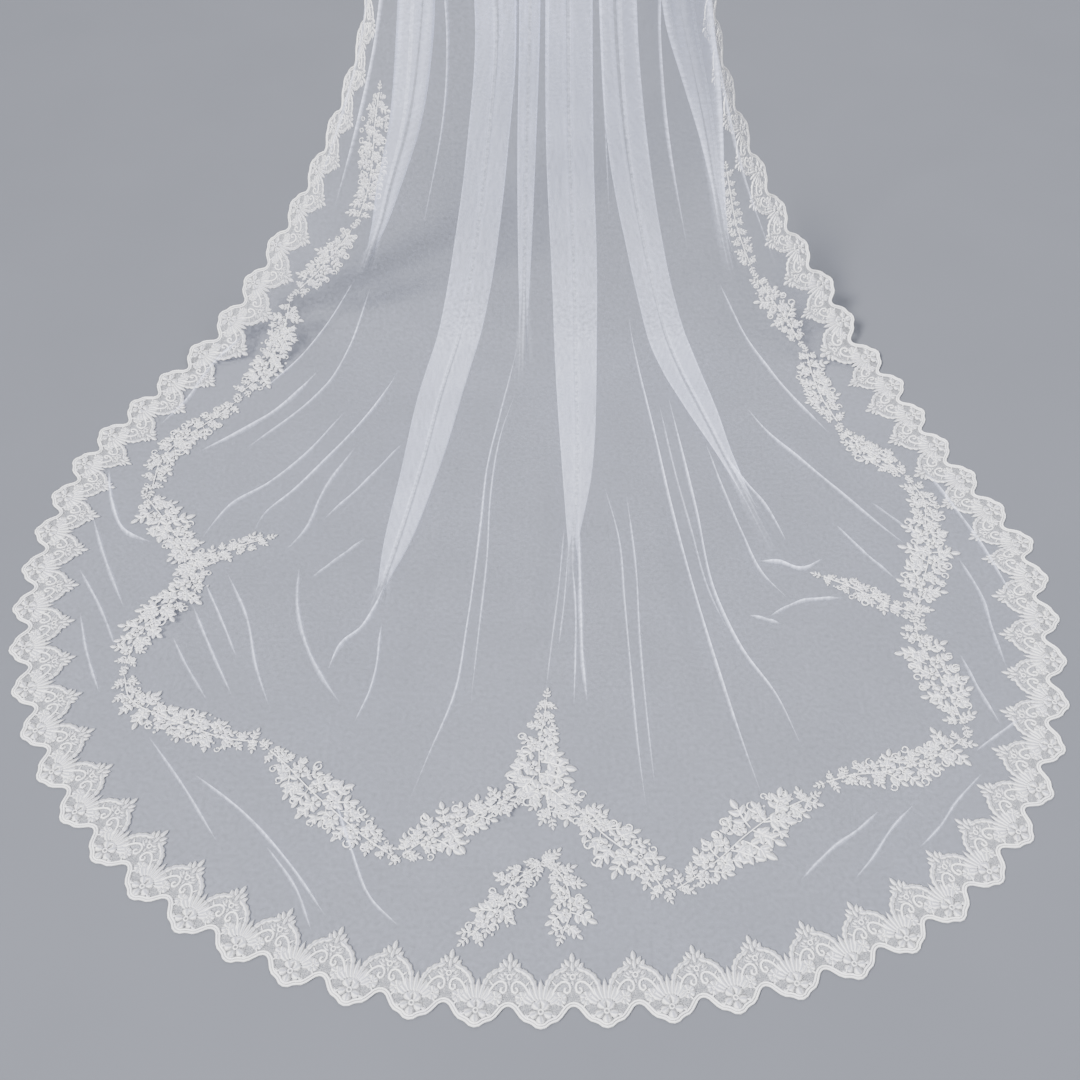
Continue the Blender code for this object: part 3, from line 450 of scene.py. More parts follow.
def make_mesh(name, points, faces, materials, uv=None, finishes=None, density=None, replaced=()):
    """A piece from whole arrays of points and faces. Faces is a list of arrays, each with rows of
    three or four corners, and finishes is the number of each face's material."""
    mesh = bpy.data.meshes.new(name)
    sizes = np.concatenate([np.full(len(part), part.shape[1]) for part in faces])
    corners = np.concatenate([part.ravel() for part in faces]).astype(np.int32)
    mesh.vertices.add(len(points))
    mesh.vertices.foreach_set("co", np.ascontiguousarray(points, np.float32).ravel())
    mesh.loops.add(len(corners))
    mesh.loops.foreach_set("vertex_index", corners)
    mesh.polygons.add(len(sizes))
    mesh.polygons.foreach_set("loop_start", np.concatenate([[0], np.cumsum(sizes)[:-1]]).astype(np.int32))
    for material in materials:
        mesh.materials.append(material)
    if finishes is not None:
        mesh.polygons.foreach_set("material_index", np.ascontiguousarray(finishes, np.int32))
    if uv is not None:
        layer = mesh.uv_layers.new(name="cloth")
        layer.data.foreach_set("uv", np.ascontiguousarray(uv[corners], np.float32).ravel())
    mesh.update(calc_edges=True)
    mesh.validate()
    if density is not None:
        stored = mesh.attributes.new("net_density", "FLOAT", "POINT")
        stored.data.foreach_set("value", np.ascontiguousarray(density, np.float32))
    mesh.shade_smooth()
    piece = bpy.data.objects.new(name, mesh)
    bpy.context.scene.collection.objects.link(piece)
    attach(piece, "root")
    if replaced:
        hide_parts(*replaced)
    return piece


def grid_faces(rows, columns):
    """Four-cornered faces of a grid of points that is listed row by row."""
    start = (np.arange(rows - 1)[:, None] * columns + np.arange(columns - 1)).ravel()
    return np.stack([start, start + columns, start + columns + 1, start + 1], axis=1)


def join(parts):
    """Several drawings as one: their points, their faces, and what else each point has."""
    shift = np.cumsum([0] + [len(part[0]) for part in parts[:-1]])
    return (
        np.concatenate([part[0] for part in parts]),
        np.concatenate([part[1] + first for part, first in zip(parts, shift)]),
        np.concatenate([part[2] for part in parts]),
    )


# Tulle

def tulle_edges(down):
    """x of both edges of the tulle: the cloth's own edge above the lace, and under the lace's inner
    half below it."""
    level = smooth_table(metres(LEVELS), down)
    inset = LACE_ON_TULLE * ease((down - LACE_TOP + LACE_LEAD) / LACE_LEAD)
    left = level[..., X_LEFT] + inset / x_metric(level[..., X_LEFT], down)
    right = level[..., X_RIGHT] - inset / x_metric(level[..., X_RIGHT], down)
    return left, right


def fold_profile(width, height, room):
    """Points across one fold at each level, from its left foot to its right foot, as (across, out,
    layers, edge, middle). The closed fold is a pipe pressed flat: across the top, round an outer roll,
    back over the layer below, and round the neck's roll to the foot. A narrow fold lies down to a
    ridge with the shape of a squared cosine. Layers tells how far it is closed, edge is 1 on the
    outer roll, and middle is 1 over the neck."""
    width, height = width[:, None], height[:, None]
    half = width / 2
    under = UNDER_SHARE * height
    neck_radius = under / 2
    foot = NECK_HALF + neck_radius
    roll_high = (height - under) / 2
    roll_wide = np.clip(ROLL_SHARE * (half - foot), 0.001, roll_high)
    reach = half - roll_wide
    top = np.minimum(NECK_HALF * np.array([0.0, 0.95, 1.35]), reach * np.array([0.0, 0.3, 0.4]))
    top = np.concatenate([top, reach * np.array([0.6, 0.83])], axis=1)
    turn, neck, back = np.radians(ROLL_TURNS), np.radians(NECK_TURNS), np.array(BACK_SHARES)
    across = np.concatenate([
        top, reach + roll_wide * np.cos(turn), reach + (foot - reach) * back,
        foot + neck_radius * np.cos(neck)], axis=1)
    out = np.concatenate([
        height * (1.03 - 0.03 * (top / reach) ** 2), (height + under) / 2 + roll_high * np.sin(turn),
        under + 0.0 * back, neck_radius + neck_radius * np.sin(neck)], axis=1)
    edge = np.concatenate([np.zeros(5), np.cos(turn) ** 4, np.zeros(7)])
    middle = np.concatenate([[1.0, 1.0], np.zeros(16)])
    across = np.concatenate([-across[:, ::-1], across[:, 1:]], axis=1)
    out = np.concatenate([out[:, ::-1], out[:, 1:]], axis=1)
    edge, middle = (np.concatenate([side[::-1], side[1:]]) for side in (edge, middle))
    share = np.linspace(-1, 1, across.shape[1])
    closed = ease(width / np.minimum(FULL_FOLD_WIDTH, room[:, None]))
    across = np.minimum(OPEN_HALF, room[:, None]) * share * (1 - closed) + across * closed
    out = (height * np.cos(share * math.pi / 2) ** 2 * (1 - closed) + out * closed) * np.sqrt(closed)
    return across, out, closed + 0 * out, edge * closed, middle * closed


def tulle_section(downs):
    """The folded tulle at each level, from its left edge to its right edge, as x, out and density.
    Between two folds the cloth dips and has soft gathers, sines that die away below. Between a
    fold's two feet one layer is as dense as the three that lie beside it."""
    height = smooth_table(metres(FOLD_HEIGHTS), downs)[:, HEIGHT]
    left, right = tulle_edges(downs)
    room = FOLD_SHARE * (right - left)
    strips = []
    before = left[:, None]
    for number, name in enumerate(GAP_COLUMNS):
        if name == "edge":
            across, out = right[:, None], np.zeros((len(downs), 1))
            layers = edge = middle = np.zeros_like(across)
        else:
            fold = smooth_table(metres(FOLDS[name]), downs)
            width = np.maximum(fold[:, FOLD_WIDTH], 0.0)
            across, out, layers, edge, middle = fold_profile(width, height, room)
            across = across + fold[:, FOLD_CENTRE, None]
        share = np.linspace(0, 1, GAP_COLUMNS[name], endpoint=False)[1 if number else 0:]
        gap = before + (across[:, :1] - before) * share
        below = downs[:, None]
        tight = 1 - ease((below - GATHERS_KEEP) / GATHERS_FADE)
        dip = -GATHER_DIP * height[:, None] * ease(below / 0.15) * tight * np.sin(math.pi * share) ** 2
        ripple = GATHER_RIPPLE * tight * ease(below / 0.03) * np.sin(math.pi * share * (4 + number % 3))
        strips.append((gap, dip + ripple) + (np.zeros_like(gap),) * 3)
        strips.append((across, out, layers, edge, middle))
        before = across[:, -1:]
    x, out, layers, edge, middle = (np.concatenate(part, axis=1) for part in zip(*strips))
    wide = np.abs(np.diff(x, axis=1)).sum(axis=1, keepdims=True)
    gathered = np.clip(GATHERED_WIDTH / wide, 1.0, MOST_GATHERED)
    density = (FLAT_DENSITY + (BAND_DENSITY - FLAT_DENSITY) * layers) * gathered
    density = density + (EDGE_DENSITY - density) * edge
    beside = 1 - (1 - BAND_DENSITY * gathered) ** 2 * (1 - FLAT_DENSITY * gathered)
    density = density + (beside - density) * middle
    return x, out, density


def sheet_part(x, down, out, density):
    """A grid of tulle as points, faces, and x, down and density."""
    return (
        on_cloth(x, down, out).reshape(-1, 3), grid_faces(*x.shape),
        np.stack([x, down, density], axis=-1).reshape(-1, 3))


def crease_strips():
    """The creases, each as points, faces, and x, down and density. Each is a strip along its line with
    a pointed profile, that narrows and sinks to nothing at both ends."""
    strips = []
    profile = np.array(CREASE_PROFILE)
    strength = (1 - np.abs(profile[:, 0])) ** 1.5
    for number, (high_mm, wide_mm, line) in enumerate(CREASES):
        line = metres(line)
        share = np.linspace(0, 1, max(8, int(along_line(line)[-1] / CREASE_STEP)))
        spot, ahead = follow(line, share)
        metric = x_metric(spot[:, 0], spot[:, 1])
        taper = np.sqrt(ease(share / CREASE_TAPER) * ease((1 - share) / CREASE_TAPER)) * 0.97 + 0.03
        wobble = 1 + CREASE_WOBBLE * np.sin(share * 17 + number * 2.4)
        reach = (wide_mm / 2000 * taper * wobble)[:, None] * profile[:, 0]
        x = spot[:, :1] + ahead[:, 1:] * reach / metric[:, None]
        down = spot[:, 1:] - ahead[:, :1] * reach
        out = 0.0002 + (high_mm / 1000 * taper * wobble)[:, None] * profile[:, 1]
        density = CREASE_DENSITY * high_mm * taper[:, None] * strength
        strips.append(sheet_part(x, down, out, density))
    return strips


def hem_down(x):
    """How far down the hem of the cloth lies at x on the train: a half superellipse."""
    out = np.clip(np.abs(x - TRAIN_MIDDLE) / TRAIN_HALF_WIDTH, 0.0, 1.0)
    power = np.where(x < TRAIN_MIDDLE, FULLNESS_LEFT, FULLNESS_RIGHT)
    return TRAIN_START + TRAIN_LONG * (1 - out ** power) ** (1 / power)


def make_tulle(material):
    """The whole sheet on one grid. Down to where the last fold ends a row is a level of the cloth;
    below that each column keeps its x and runs on down to its own place on the round hem. The
    creases lie in the same piece."""
    downs = np.concatenate([
        np.linspace(0.0, LANDING_START, HANGING_ROWS, endpoint=False),
        np.linspace(LANDING_START, FOLDS_END, LANDING_ROWS)])
    x, out, density = tulle_section(downs)
    down = np.broadcast_to(downs[:, None], x.shape)
    wide = TRAIN_MIDDLE + (x[-1] - TRAIN_MIDDLE) / (1 - LACE_ON_TULLE / TRAIN_HALF_WIDTH)
    hem = TRAIN_START + (hem_down(wide) - TRAIN_START) * (1 - LACE_ON_TULLE / TRAIN_LONG)
    share = np.linspace(0, 1, TRAIN_ROWS + 1)[1:, None]
    end = FOLDS_END + (np.maximum(hem, FOLDS_END + 0.002) - FOLDS_END) * share
    down = np.concatenate([down, end])
    x, out, density = (
        np.concatenate([part, np.repeat(part[-1:], TRAIN_ROWS, axis=0)]) for part in (x, out, density))
    points, faces, place = join([sheet_part(x, down, out, density)] + crease_strips())
    uv = (place[:, :2] - [TRAIN_MIDDLE - TRAIN_HALF_WIDTH, 0.0]) / CLOTH_LENGTH
    tulle = make_mesh("tulle", points, [faces], [material], uv=uv, density=place[:, 2],
                      replaced=("tulle_fall", "tulle_sweep", "tulle_train"))
    tulle.visible_shadow = False
    return tulle


# Lace, drawn flat: a pattern is points (across, along, raised) in metres, faces and thread places

def strip(path, halves, raised, closed=False, parting_shaded=False):
    """A raised cord or leaf: four points round each place of its line, at the left, on the crest, at
    the right and underneath, and a small face at each end. Across it the thread places run from 0
    to 1, or lie further on where it gets no painted shade down its middle."""
    path = np.array(path, float)
    count = len(path)
    halves = np.broadcast_to(np.asarray(halves, float), (count,))
    raised = np.broadcast_to(np.asarray(raised, float), (count,))
    if closed:
        ahead = unit(np.roll(path, -1, axis=0) - np.roll(path, 1, axis=0))
    else:
        ahead = unit(np.gradient(path, axis=0))
    side = np.stack([ahead[:, 1], -ahead[:, 0]], axis=1)
    ring = np.zeros((count, 4, 3))
    ring[:, :, :2] = path[:, None]
    ring[:, 0, :2] -= side * halves[:, None]
    ring[:, 2, :2] += side * halves[:, None]
    ring[:, 1, 2] = raised
    ring[:, 3, 2] = -CORD_UNDER
    thread = np.zeros((count, 4, 2))
    thread[:, :, 0] = np.array([0.0, 0.5, 1.0, 0.5]) + (0 if parting_shaded else NO_PARTING_SHADE)
    thread[:, :, 1] = along_line(path)[:, None] / THREAD_UNIT
    steps = np.arange(count if closed else count - 1)
    a = steps[:, None] * 4 + np.arange(4)
    b = ((steps + 1) % count)[:, None] * 4 + np.arange(4)
    faces = np.stack([a, np.roll(a, -1, axis=1), np.roll(b, -1, axis=1), b], axis=-1).reshape(-1, 4)
    if not closed:
        faces = np.concatenate([faces, [[3, 2, 1, 0]], [np.arange(4) + 4 * (count - 1)]])
    return ring.reshape(-1, 3), faces, thread.reshape(-1, 2)


def leaf(x0, y0, x1, y1, width, bow=0.0, raised=None):
    """An almond-shaped leaf in mm from its foot to its tip, with its line bowed to the side."""
    share = np.array([0.0, 0.18, 0.45, 0.75, 1.0])
    foot, tip = np.array([x0, y0]), np.array([x1, y1])
    long = tip - foot
    side = np.array([long[1], -long[0]]) / np.hypot(*long)
    path = foot + long * share[:, None] + side * (bow * 4 * share * (1 - share))[:, None]
    halves = width / 2 * np.array([0.02, 0.72, 1.0, 0.72, 0.02])
    top = raised if raised is not None else 0.16 * width + 0.3
    return strip(path / 1000, halves / 1000, top / 1000 * np.array([0.2, 0.8, 1.0, 0.8, 0.2]), parting_shaded=True)


def petal(angle, inner, outer, width, raised, centre=(0.0, 0.0)):
    """A round petal in mm, broadest near its outer end."""
    turn = math.radians(angle)
    share = np.array([0.0, 0.35, 0.7, 0.92, 1.0])
    reach = inner + (outer - inner) * share
    path = np.array(centre) + np.stack([math.sin(turn) * reach, math.cos(turn) * reach], axis=1)
    halves = width / 2 * np.array([0.25, 0.85, 1.0, 0.62, 0.10])
    return strip(path / 1000, halves / 1000, raised / 1000 * np.array([0.3, 0.8, 1.0, 0.9, 0.5]), parting_shaded=True)


def ring_cord(radius, half, raised, centre=(0.0, 0.0), count=9):
    """A round cord in mm."""
    turn = np.arange(count) * 2 * math.pi / count
    path = np.array(centre) + radius * np.stack([np.sin(turn), np.cos(turn)], axis=1)
    return strip(path / 1000, half / 1000, raised / 1000, closed=True)


def cord(path, half, raised, ends=0.6):
    """A cord in mm along a line, a little thinner at its ends."""
    path = np.array(path, float)
    thin = np.ones(len(path))
    thin[[0, -1]] = ends
    return strip(path / 1000, half / 1000 * thin, raised / 1000 * thin)


def mirrored(part):
    """The same drawing turned over from left to right, with its faces still outwards."""
    points, faces, thread = part
    return points * [-1, 1, 1], faces[:, ::-1], thread


def both_sides(parts):
    return list(parts) + [mirrored(part) for part in parts]


def moved(part, across, along):
    return part[0] + [across / 1000, along / 1000, 0.0], part[1], part[2]


def flower(radius, petals, raised):
    """Round petals about a corded ring, with a small hole in the middle."""
    width = 2.05 * radius * math.sin(math.pi / petals)
    turns = np.arange(petals) * 360.0 / petals
    parts = [petal(turn, radius * 0.28, radius, width, raised) for turn in turns]
    return join(parts + [ring_cord(radius * 0.24, radius * 0.11, raised * 1.15, count=7)])


def blossom(inner):
    """A flower of five broad petals about a corded eye, ten mm in radius. A rose also has five inner
    petals, turned by half a step and higher."""
    parts = [petal(turn, 3.2, 10.0, 9.6, 1.1) for turn in range(0, 360, 72)]
    if inner:
        parts += [petal(turn + 36, 2.0, 6.4, 5.2, 1.7) for turn in range(0, 360, 72)]
    return join(parts + [ring_cord(2.0, 0.75, 1.9, count=6)])


def twig():
    """A twig 26 mm long: a thin stem with two pairs of round leaves and one at the tip."""
    return join([
        cord(((0.0, -2.0), (0.9, 5.0), (0.4, 12.0), (0.0, 18.0)), 0.85, 0.9),
        leaf(0.0, 16.5, 0.0, 27.0, 6.4, 0.3),
        leaf(0.6, 12.0, 7.8, 18.5, 5.6, 0.4),
        leaf(0.6, 12.0, -7.2, 18.0, 5.6, -0.4),
        leaf(0.9, 4.5, 9.2, 9.6, 6.0, 0.5),
        leaf(0.9, 4.5, -8.0, 10.6, 6.0, -0.5),
    ])


def sprig():
    """Three leaves from one foot, 13 mm long."""
    return join([
        leaf(0.0, -1.5, 0.0, 13.0, 6.0, 0.4),
        leaf(0.0, 1.0, 7.6, 7.6, 5.0, -0.4),
        leaf(0.0, 1.0, -7.6, 7.6, 5.0, 0.4),
    ])


def curl():
    """A scroll: an open loop of cord 14 mm across, that runs in to its middle."""
    turn = np.radians(np.linspace(-170, 190, 11))
    reach = np.linspace(7.0, 3.6, 11)
    path = np.stack([np.sin(turn) * reach, np.cos(turn) * reach], axis=1)
    return cord(path, 1.25, 1.1)


def bud():
    """A small round bud."""
    return leaf(0.0, -2.6, 0.0, 2.6, 4.8, 0.0, 1.5)


def hem_repeat():
    """One repeat of the edging, about the middle of its valley: a double cord along the scallops,
    scrolls, small flowers, the arch of leaves and the pointed finial."""
    line = np.array(HEM_CORD)
    ahead = unit(np.gradient(line, axis=0))
    side = np.stack([-ahead[:, 1], ahead[:, 0]], axis=1)
    parts = [
        strip((line - side * 1.7) / 1000, 0.00185, 0.0015),
        strip((line + side * 1.75) / 1000, 0.00165, 0.0013),
    ]
    parts += both_sides([cord(SCROLL, 1.95, 1.5)])
    parts += both_sides([leaf(*row) for row in VALLEY_LEAVES])
    parts += [leaf(*row) for row in VALLEY_MIDDLE_LEAVES]
    parts += both_sides([moved(flower(9.0, 6, 1.1), 17.0, 38.0)])
    parts += [ring_cord(3.2, 1.25, 1.3, centre=(0.0, 65.5), count=8)]
    parts += both_sides([
        cord(((11.5, 26.0), (14.0, 29.5), (16.0, 32.0)), 1.2, 1.0),
        cord(((23.0, 13.5), (26.0, 17.0), (29.0, 19.0)), 1.2, 1.0),
        cord(((23.0, 38.0), (27.5, 38.5), (31.5, 36.0)), 1.3, 1.0),
        cord(((21.0, 54.0), (24.0, 57.0), (26.5, 60.0)), 1.1, 1.0),
        leaf(4.5, 61.5, 15.5, 66.5, 3.6, 0.8),
    ])
    return join(parts)


def scallop_middle():
    """What stands on the middle of a scallop: the big flower with the fan of leaves over it."""
    parts = [petal(turn, 4.0, 14.6, 12.4, 1.5) for turn in range(36, 360, 72)]
    parts = [moved(join(parts + [ring_cord(3.0, 1.2, 1.4, count=8)]), 0.0, 21.5)]
    parts += both_sides([leaf(*row) for row in FAN_LEAVES])
    parts += [leaf(*row) for row in FAN_MIDDLE_LEAVES]
    parts += both_sides([leaf(7.0, 30.0, 0.0, 37.0, 8.0, 0.0), leaf(14.5, 15.0, 19.5, 18.5, 4.4, 0.0)])
    return join(parts)


def scattered(pattern, count):
    """A pattern's faces and thread places for so many copies of it."""
    points, faces, thread = pattern
    shift = np.arange(count)[:, None, None] * len(points)
    return (faces + shift).reshape(-1, 4), np.tile(thread, (count, 1))


def placed(pattern, x, down, turn, size):
    """Copies of a pattern on the cloth. Each point's across and along are turned, made larger and
    added to the copy's own x and down."""
    points = pattern[0]
    x, down, turn, size = (np.asarray(value, float)[:, None] for value in (x, down, turn, size))
    across = (points[:, 0] * np.cos(turn) + points[:, 1] * np.sin(turn)) * size
    along = (points[:, 1] * np.cos(turn) - points[:, 0] * np.sin(turn)) * size
    metric = x_metric(x[:, 0], down[:, 0])[:, None]
    raised = points[:, 2] * size
    return on_cloth(x + across / metric, down + along, LACE_GAP + raised).reshape(-1, 3)


def hem_path():
    """The outer line of the lace as x and down: the left edge, the round end and the right edge,
    with the true length along it from the lace's start. The line runs on a little past both ends."""
    straight = np.linspace(LACE_TOP - HEM_SPARE, TRAIN_START, 160)
    level = smooth_table(metres(LEVELS), straight)
    turn = np.linspace(0, math.pi, 260)[1:-1]
    power = np.where(turn < math.pi / 2, FULLNESS_LEFT, FULLNESS_RIGHT)
    out = np.abs(np.cos(turn)) ** (2 / power)
    end_x = TRAIN_MIDDLE - TRAIN_HALF_WIDTH * np.sign(np.cos(turn)) * out
    end_down = TRAIN_START + TRAIN_LONG * np.sin(turn) ** (2 / power)
    x = np.concatenate([level[:, X_LEFT], end_x, level[::-1, X_RIGHT]])
    down = np.concatenate([straight, end_down, straight[::-1]])
    points = base(x, down)
    length = np.concatenate([[0.0], np.cumsum(np.linalg.norm(np.diff(points, axis=0), axis=1))])
    half = len(down) // 2
    start = np.interp(LACE_TOP, down[:half], length[:half])
    stop = np.interp(-LACE_TOP, -down[half:], length[half:])
    return x, down, length - start, stop - start


HEM_X, HEM_DOWN, HEM_LENGTH, LACE_LENGTH = hem_path()
LACE_PITCH = LACE_LENGTH / LACE_REPEATS
LACE_STRETCH = LACE_PITCH / (2 * HALF_REPEAT_MM / 1000)


def by_the_hem(along, inward, raised):
    """The point that lies a length along the hem, a distance in from it and raised off the cloth."""
    step = 0.012
    x = np.interp(along, HEM_LENGTH, HEM_X)
    down = np.interp(along, HEM_LENGTH, HEM_DOWN)
    ahead_x = np.interp(along + step, HEM_LENGTH, HEM_X) - np.interp(along - step, HEM_LENGTH, HEM_X)
    ahead_down = np.interp(along + step, HEM_LENGTH, HEM_DOWN) - np.interp(along - step, HEM_LENGTH, HEM_DOWN)
    metric = x_metric(x, down)
    ahead = unit(np.stack([ahead_x * metric, ahead_down], axis=-1))
    x = x + inward * ahead[..., 1] / metric
    down = down - inward * ahead[..., 0]
    return on_cloth(x, down, LACE_GAP + raised)


def lace_ground():
    """The net behind one repeat, drawn as the cords are: a grid between the scallops' cord and a line
    through the arch and the finial."""
    across = np.linspace(-HALF_REPEAT_MM, HALF_REPEAT_MM, 17)
    outer = np.interp(across, *np.array(HEM_CORD).T)
    inner = np.interp(np.abs(across), *np.array(GROUND_TOP).T)
    share = np.linspace(0, 1, 4)[:, None]
    places = np.stack([across + 0 * share, outer + (inner - outer) * share], axis=-1)
    rows, columns = places.shape[:2]
    places = places.reshape(-1, 2)
    return places / 1000, grid_faces(rows, columns)[:, ::-1], places / 4


def make_edging(materials):
    """The three lengths of lace. Every repeat is the same drawing, laid along the hem."""
    valley = hem_repeat()
    middle = scallop_middle()
    ground = lace_ground()
    pieces = []
    for node, (first, last) in LACE_LENGTHS.items():
        parts = []
        starts = np.arange(first, last)
        for pattern, numbers in ((valley, starts + 0.5), (middle, starts + 1.0)):
            if pattern is middle and first == 0:
                numbers = np.concatenate([[FIRST_FLOWER], numbers])
            if pattern is middle and last == LACE_REPEATS:
                numbers = np.concatenate([numbers[:-1], [LACE_REPEATS - FIRST_FLOWER]])
            along = numbers[:, None] * LACE_PITCH + pattern[0][:, 0] * LACE_STRETCH
            flat = by_the_hem(along, np.broadcast_to(pattern[0][:, 1], along.shape), pattern[0][:, 2])
            parts.append((flat.reshape(-1, 3), *scattered(pattern, len(numbers))))
        cords = sum(len(part[1]) for part in parts)
        along = (starts + 0.5)[:, None] * LACE_PITCH + ground[0][:, 0] * LACE_STRETCH
        flat = by_the_hem(along, np.broadcast_to(ground[0][:, 1], along.shape), NET_GAP)
        parts.append((flat.reshape(-1, 3), *scattered(ground, len(starts))))
        points, faces, threads = join(parts)
        pieces.append(make_mesh(
            node.replace("edge", "hem"), points, [faces], materials, uv=threads,
            finishes=np.arange(len(faces)) >= cords, replaced=(node,)))
    return pieces


def uneven(numbers, seed):
    """Values from -1 to 1 that look unordered and are the same each time."""
    value = np.sin(numbers * 12.9898 + seed * 78.233) * 43758.5453
    return 2 * (value - np.floor(value)) - 1


def spray_line(rows, step):
    """Even steps along a spray's line: the places as x, down and half width, the way ahead, the half
    width and the number of each step."""
    line = metres(rows)
    order = np.arange(max(2, int(round(along_line(line)[-1] / step))))
    places, ahead = follow(line, (order + 0.5) / len(order))
    return places, ahead, places[:, SPRAY_HALF], order


def make_spray(name, lines, patterns, materials, seed):
    """One spray: along each of its lines a stem, flowers to its left and right in turn, twigs that
    branch off both sides and reach past the rim, and sprigs, scrolls and buds between them. Each
    is turned and sized a little differently."""
    layers = []

    def lay(kind, places, ahead, off, turn, size):
        side = np.stack([ahead[:, 1], -ahead[:, 0]], axis=1)
        spot = places[:, :2] + side * off[:, None]
        layers.append((kind, spot[:, 0], spot[:, 1], np.arctan2(ahead[:, 0], ahead[:, 1]) + turn, size))

    stems = []
    for number, rows in enumerate(lines):
        mark = seed + 40 * number
        places, ahead, half, order = spray_line(rows, FLOWER_STEP)
        off = half * 0.27 * np.where(order % 2, 1, -1) * (1 + 0.3 * uneven(order, mark))
        size = np.clip(half / 0.024, 0.46, 1.15) * (1 + 0.12 * uneven(order, mark + 1))
        turn = 1.3 * uneven(order, mark + 2)
        doubled = order % 3 == 1
        for kind, chosen in (("rose", doubled), ("blossom", ~doubled)):
            lay(kind, places[chosen], ahead[chosen], off[chosen], turn[chosen], size[chosen])
        for hand in (1, -1):
            own = mark + 3 + hand
            for kind, step, (out, out_varies), (lean, lean_varies), sizes in SIDE_SHAPES:
                size, growth, size_varies = sizes
                places, ahead, half, order = spray_line(rows, step)
                lay(kind, places, ahead,
                    hand * half * (out + out_varies * uneven(order, own)),
                    (hand if lean else 1) * (lean + lean_varies * uneven(order, own + 2)),
                    (size + half / growth) * (1 + size_varies * uneven(order, own + 4)))
                own += 6
        places, ahead, half, order = spray_line(rows, BUD_STEP)
        lay("bud", places, ahead, half * 1.05 * uneven(order, mark + 21), 1.5 * uneven(order, mark + 22),
            0.9 + 0.25 * uneven(order, mark + 23))
        line = metres(rows)
        outward = unit(np.stack([line[0, :2] - line[1, :2], line[-1, :2] - line[-2, :2]]))
        lay("twig", line[[0, -1]], outward, np.zeros(2), np.zeros(2), np.full(2, TIP_SIZE))
        stems.append(spray_line(rows, STEM_STEP)[0])

    parts = [
        (placed(patterns[kind], *spots), *scattered(patterns[kind], len(spots[0])))
        for kind, *spots in layers if len(spots[0])
    ]
    for places in stems:
        points, faces, threads = strip(places[:, :2], STEM_HALF, STEM_RAISED)
        parts.append((on_cloth(points[:, 0], points[:, 1], LACE_GAP + points[:, 2]), faces, threads))
    points, faces, threads = join(parts)
    return make_mesh(name.replace("spray", "applique"), points, [faces[:, ::-1]], materials,
                     uv=threads, replaced=(name,))


def make_sprays(materials):
    patterns = {
        "rose": blossom(True), "blossom": blossom(False), "twig": twig(), "sprig": sprig(), "curl": curl(),
        "bud": bud(),
    }
    return [
        make_spray(name, (rows,) + BRANCHES.get(name, ()), patterns, materials, number)
        for number, (name, rows) in enumerate(SPRAYS.items())
    ]


# Comb

STITCH_TURNS = 27
STITCH_RADIUS = 0.0031
STITCHED_HALF = 0.047
THREAD_RADIUS = 0.0004


def make_comb_stitches(material):
    """The thread that holds the gathers on the comb: a thin tube wound round the spine, once for
    each tooth and once between, so its line is a helix."""
    count = STITCH_TURNS * 14
    share = np.linspace(0, 1, count)
    angle = share * STITCH_TURNS * 2 * math.pi
    line = np.stack([
        STITCHED_HALF * (2 * share - 1), STITCH_RADIUS * np.cos(angle),
        STITCH_RADIUS * np.sin(angle)], axis=1)
    ahead = unit(np.gradient(line, axis=0))
    outward = np.stack([0 * angle, np.cos(angle), np.sin(angle)], axis=1)
    side = np.cross(ahead, outward)
    ring = np.arange(5) * 2 * math.pi / 5
    points = line[:, None] + THREAD_RADIUS * (
        outward[:, None] * np.cos(ring)[:, None] + side[:, None] * np.sin(ring)[:, None])
    start = (np.arange(count - 1)[:, None] * 5 + np.arange(5)).ravel()
    beside = (np.arange(count - 1)[:, None] * 5 + (np.arange(5) + 1) % 5).ravel()
    faces = np.stack([start, beside, beside + 5, start + 5], axis=1)
    ends = np.stack([np.arange(5)[::-1], np.arange(5) + 5 * (count - 1)])
    return make_mesh("comb_stitches", points.reshape(-1, 3), [faces, ends], [material])


# Finishes

MIX_COLOUR_A, MIX_COLOUR_B, MIX_COLOUR_OUT = 6, 7, 2  # the mix node's sockets when it mixes colours


def new_material(name):
    material = bpy.data.materials.new(name)
    material.use_nodes = True
    tree = material.node_tree
    return material, tree, tree.nodes["Principled BSDF"]


def noise(tree, source, scale, detail=3.0, output="Fac"):
    node = tree.nodes.new("ShaderNodeTexNoise")
    node.inputs["Scale"].default_value = scale
    node.inputs["Detail"].default_value = detail
    tree.links.new(source, node.inputs["Vector"])
    return node.outputs[output]


def ramp(tree, value, stops):
    node = tree.nodes.new("ShaderNodeValToRGB")
    for number, (place, colour) in enumerate(stops):
        stop = node.color_ramp.elements[number] if number < 2 else node.color_ramp.elements.new(place)
        stop.position = place
        stop.color = (*colour, 1.0)
    tree.links.new(value, node.inputs["Fac"])
    return node.outputs["Color"]


def bump(tree, value, strength, distance):
    node = tree.nodes.new("ShaderNodeBump")
    node.inputs["Strength"].default_value = strength
    node.inputs["Distance"].default_value = distance
    tree.links.new(value, node.inputs["Height"])
    return node.outputs["Normal"]


def finish(tree, shader, colour, **values):
    """Links the colour and sets the shader's other values, each named as its socket is."""
    tree.links.new(colour, shader.inputs["Base Color"])
    for name, value in values.items():
        shader.inputs[name.replace("_", " ")].default_value = value


def times(tree, one, other, operation="MULTIPLY"):
    node = tree.nodes.new("ShaderNodeMath")
    node.operation = operation
    for socket, value in zip(node.inputs, (one, other)):
        if isinstance(value, (int, float)):
            socket.default_value = value
        else:
            tree.links.new(value, socket)
    return node.outputs[0]


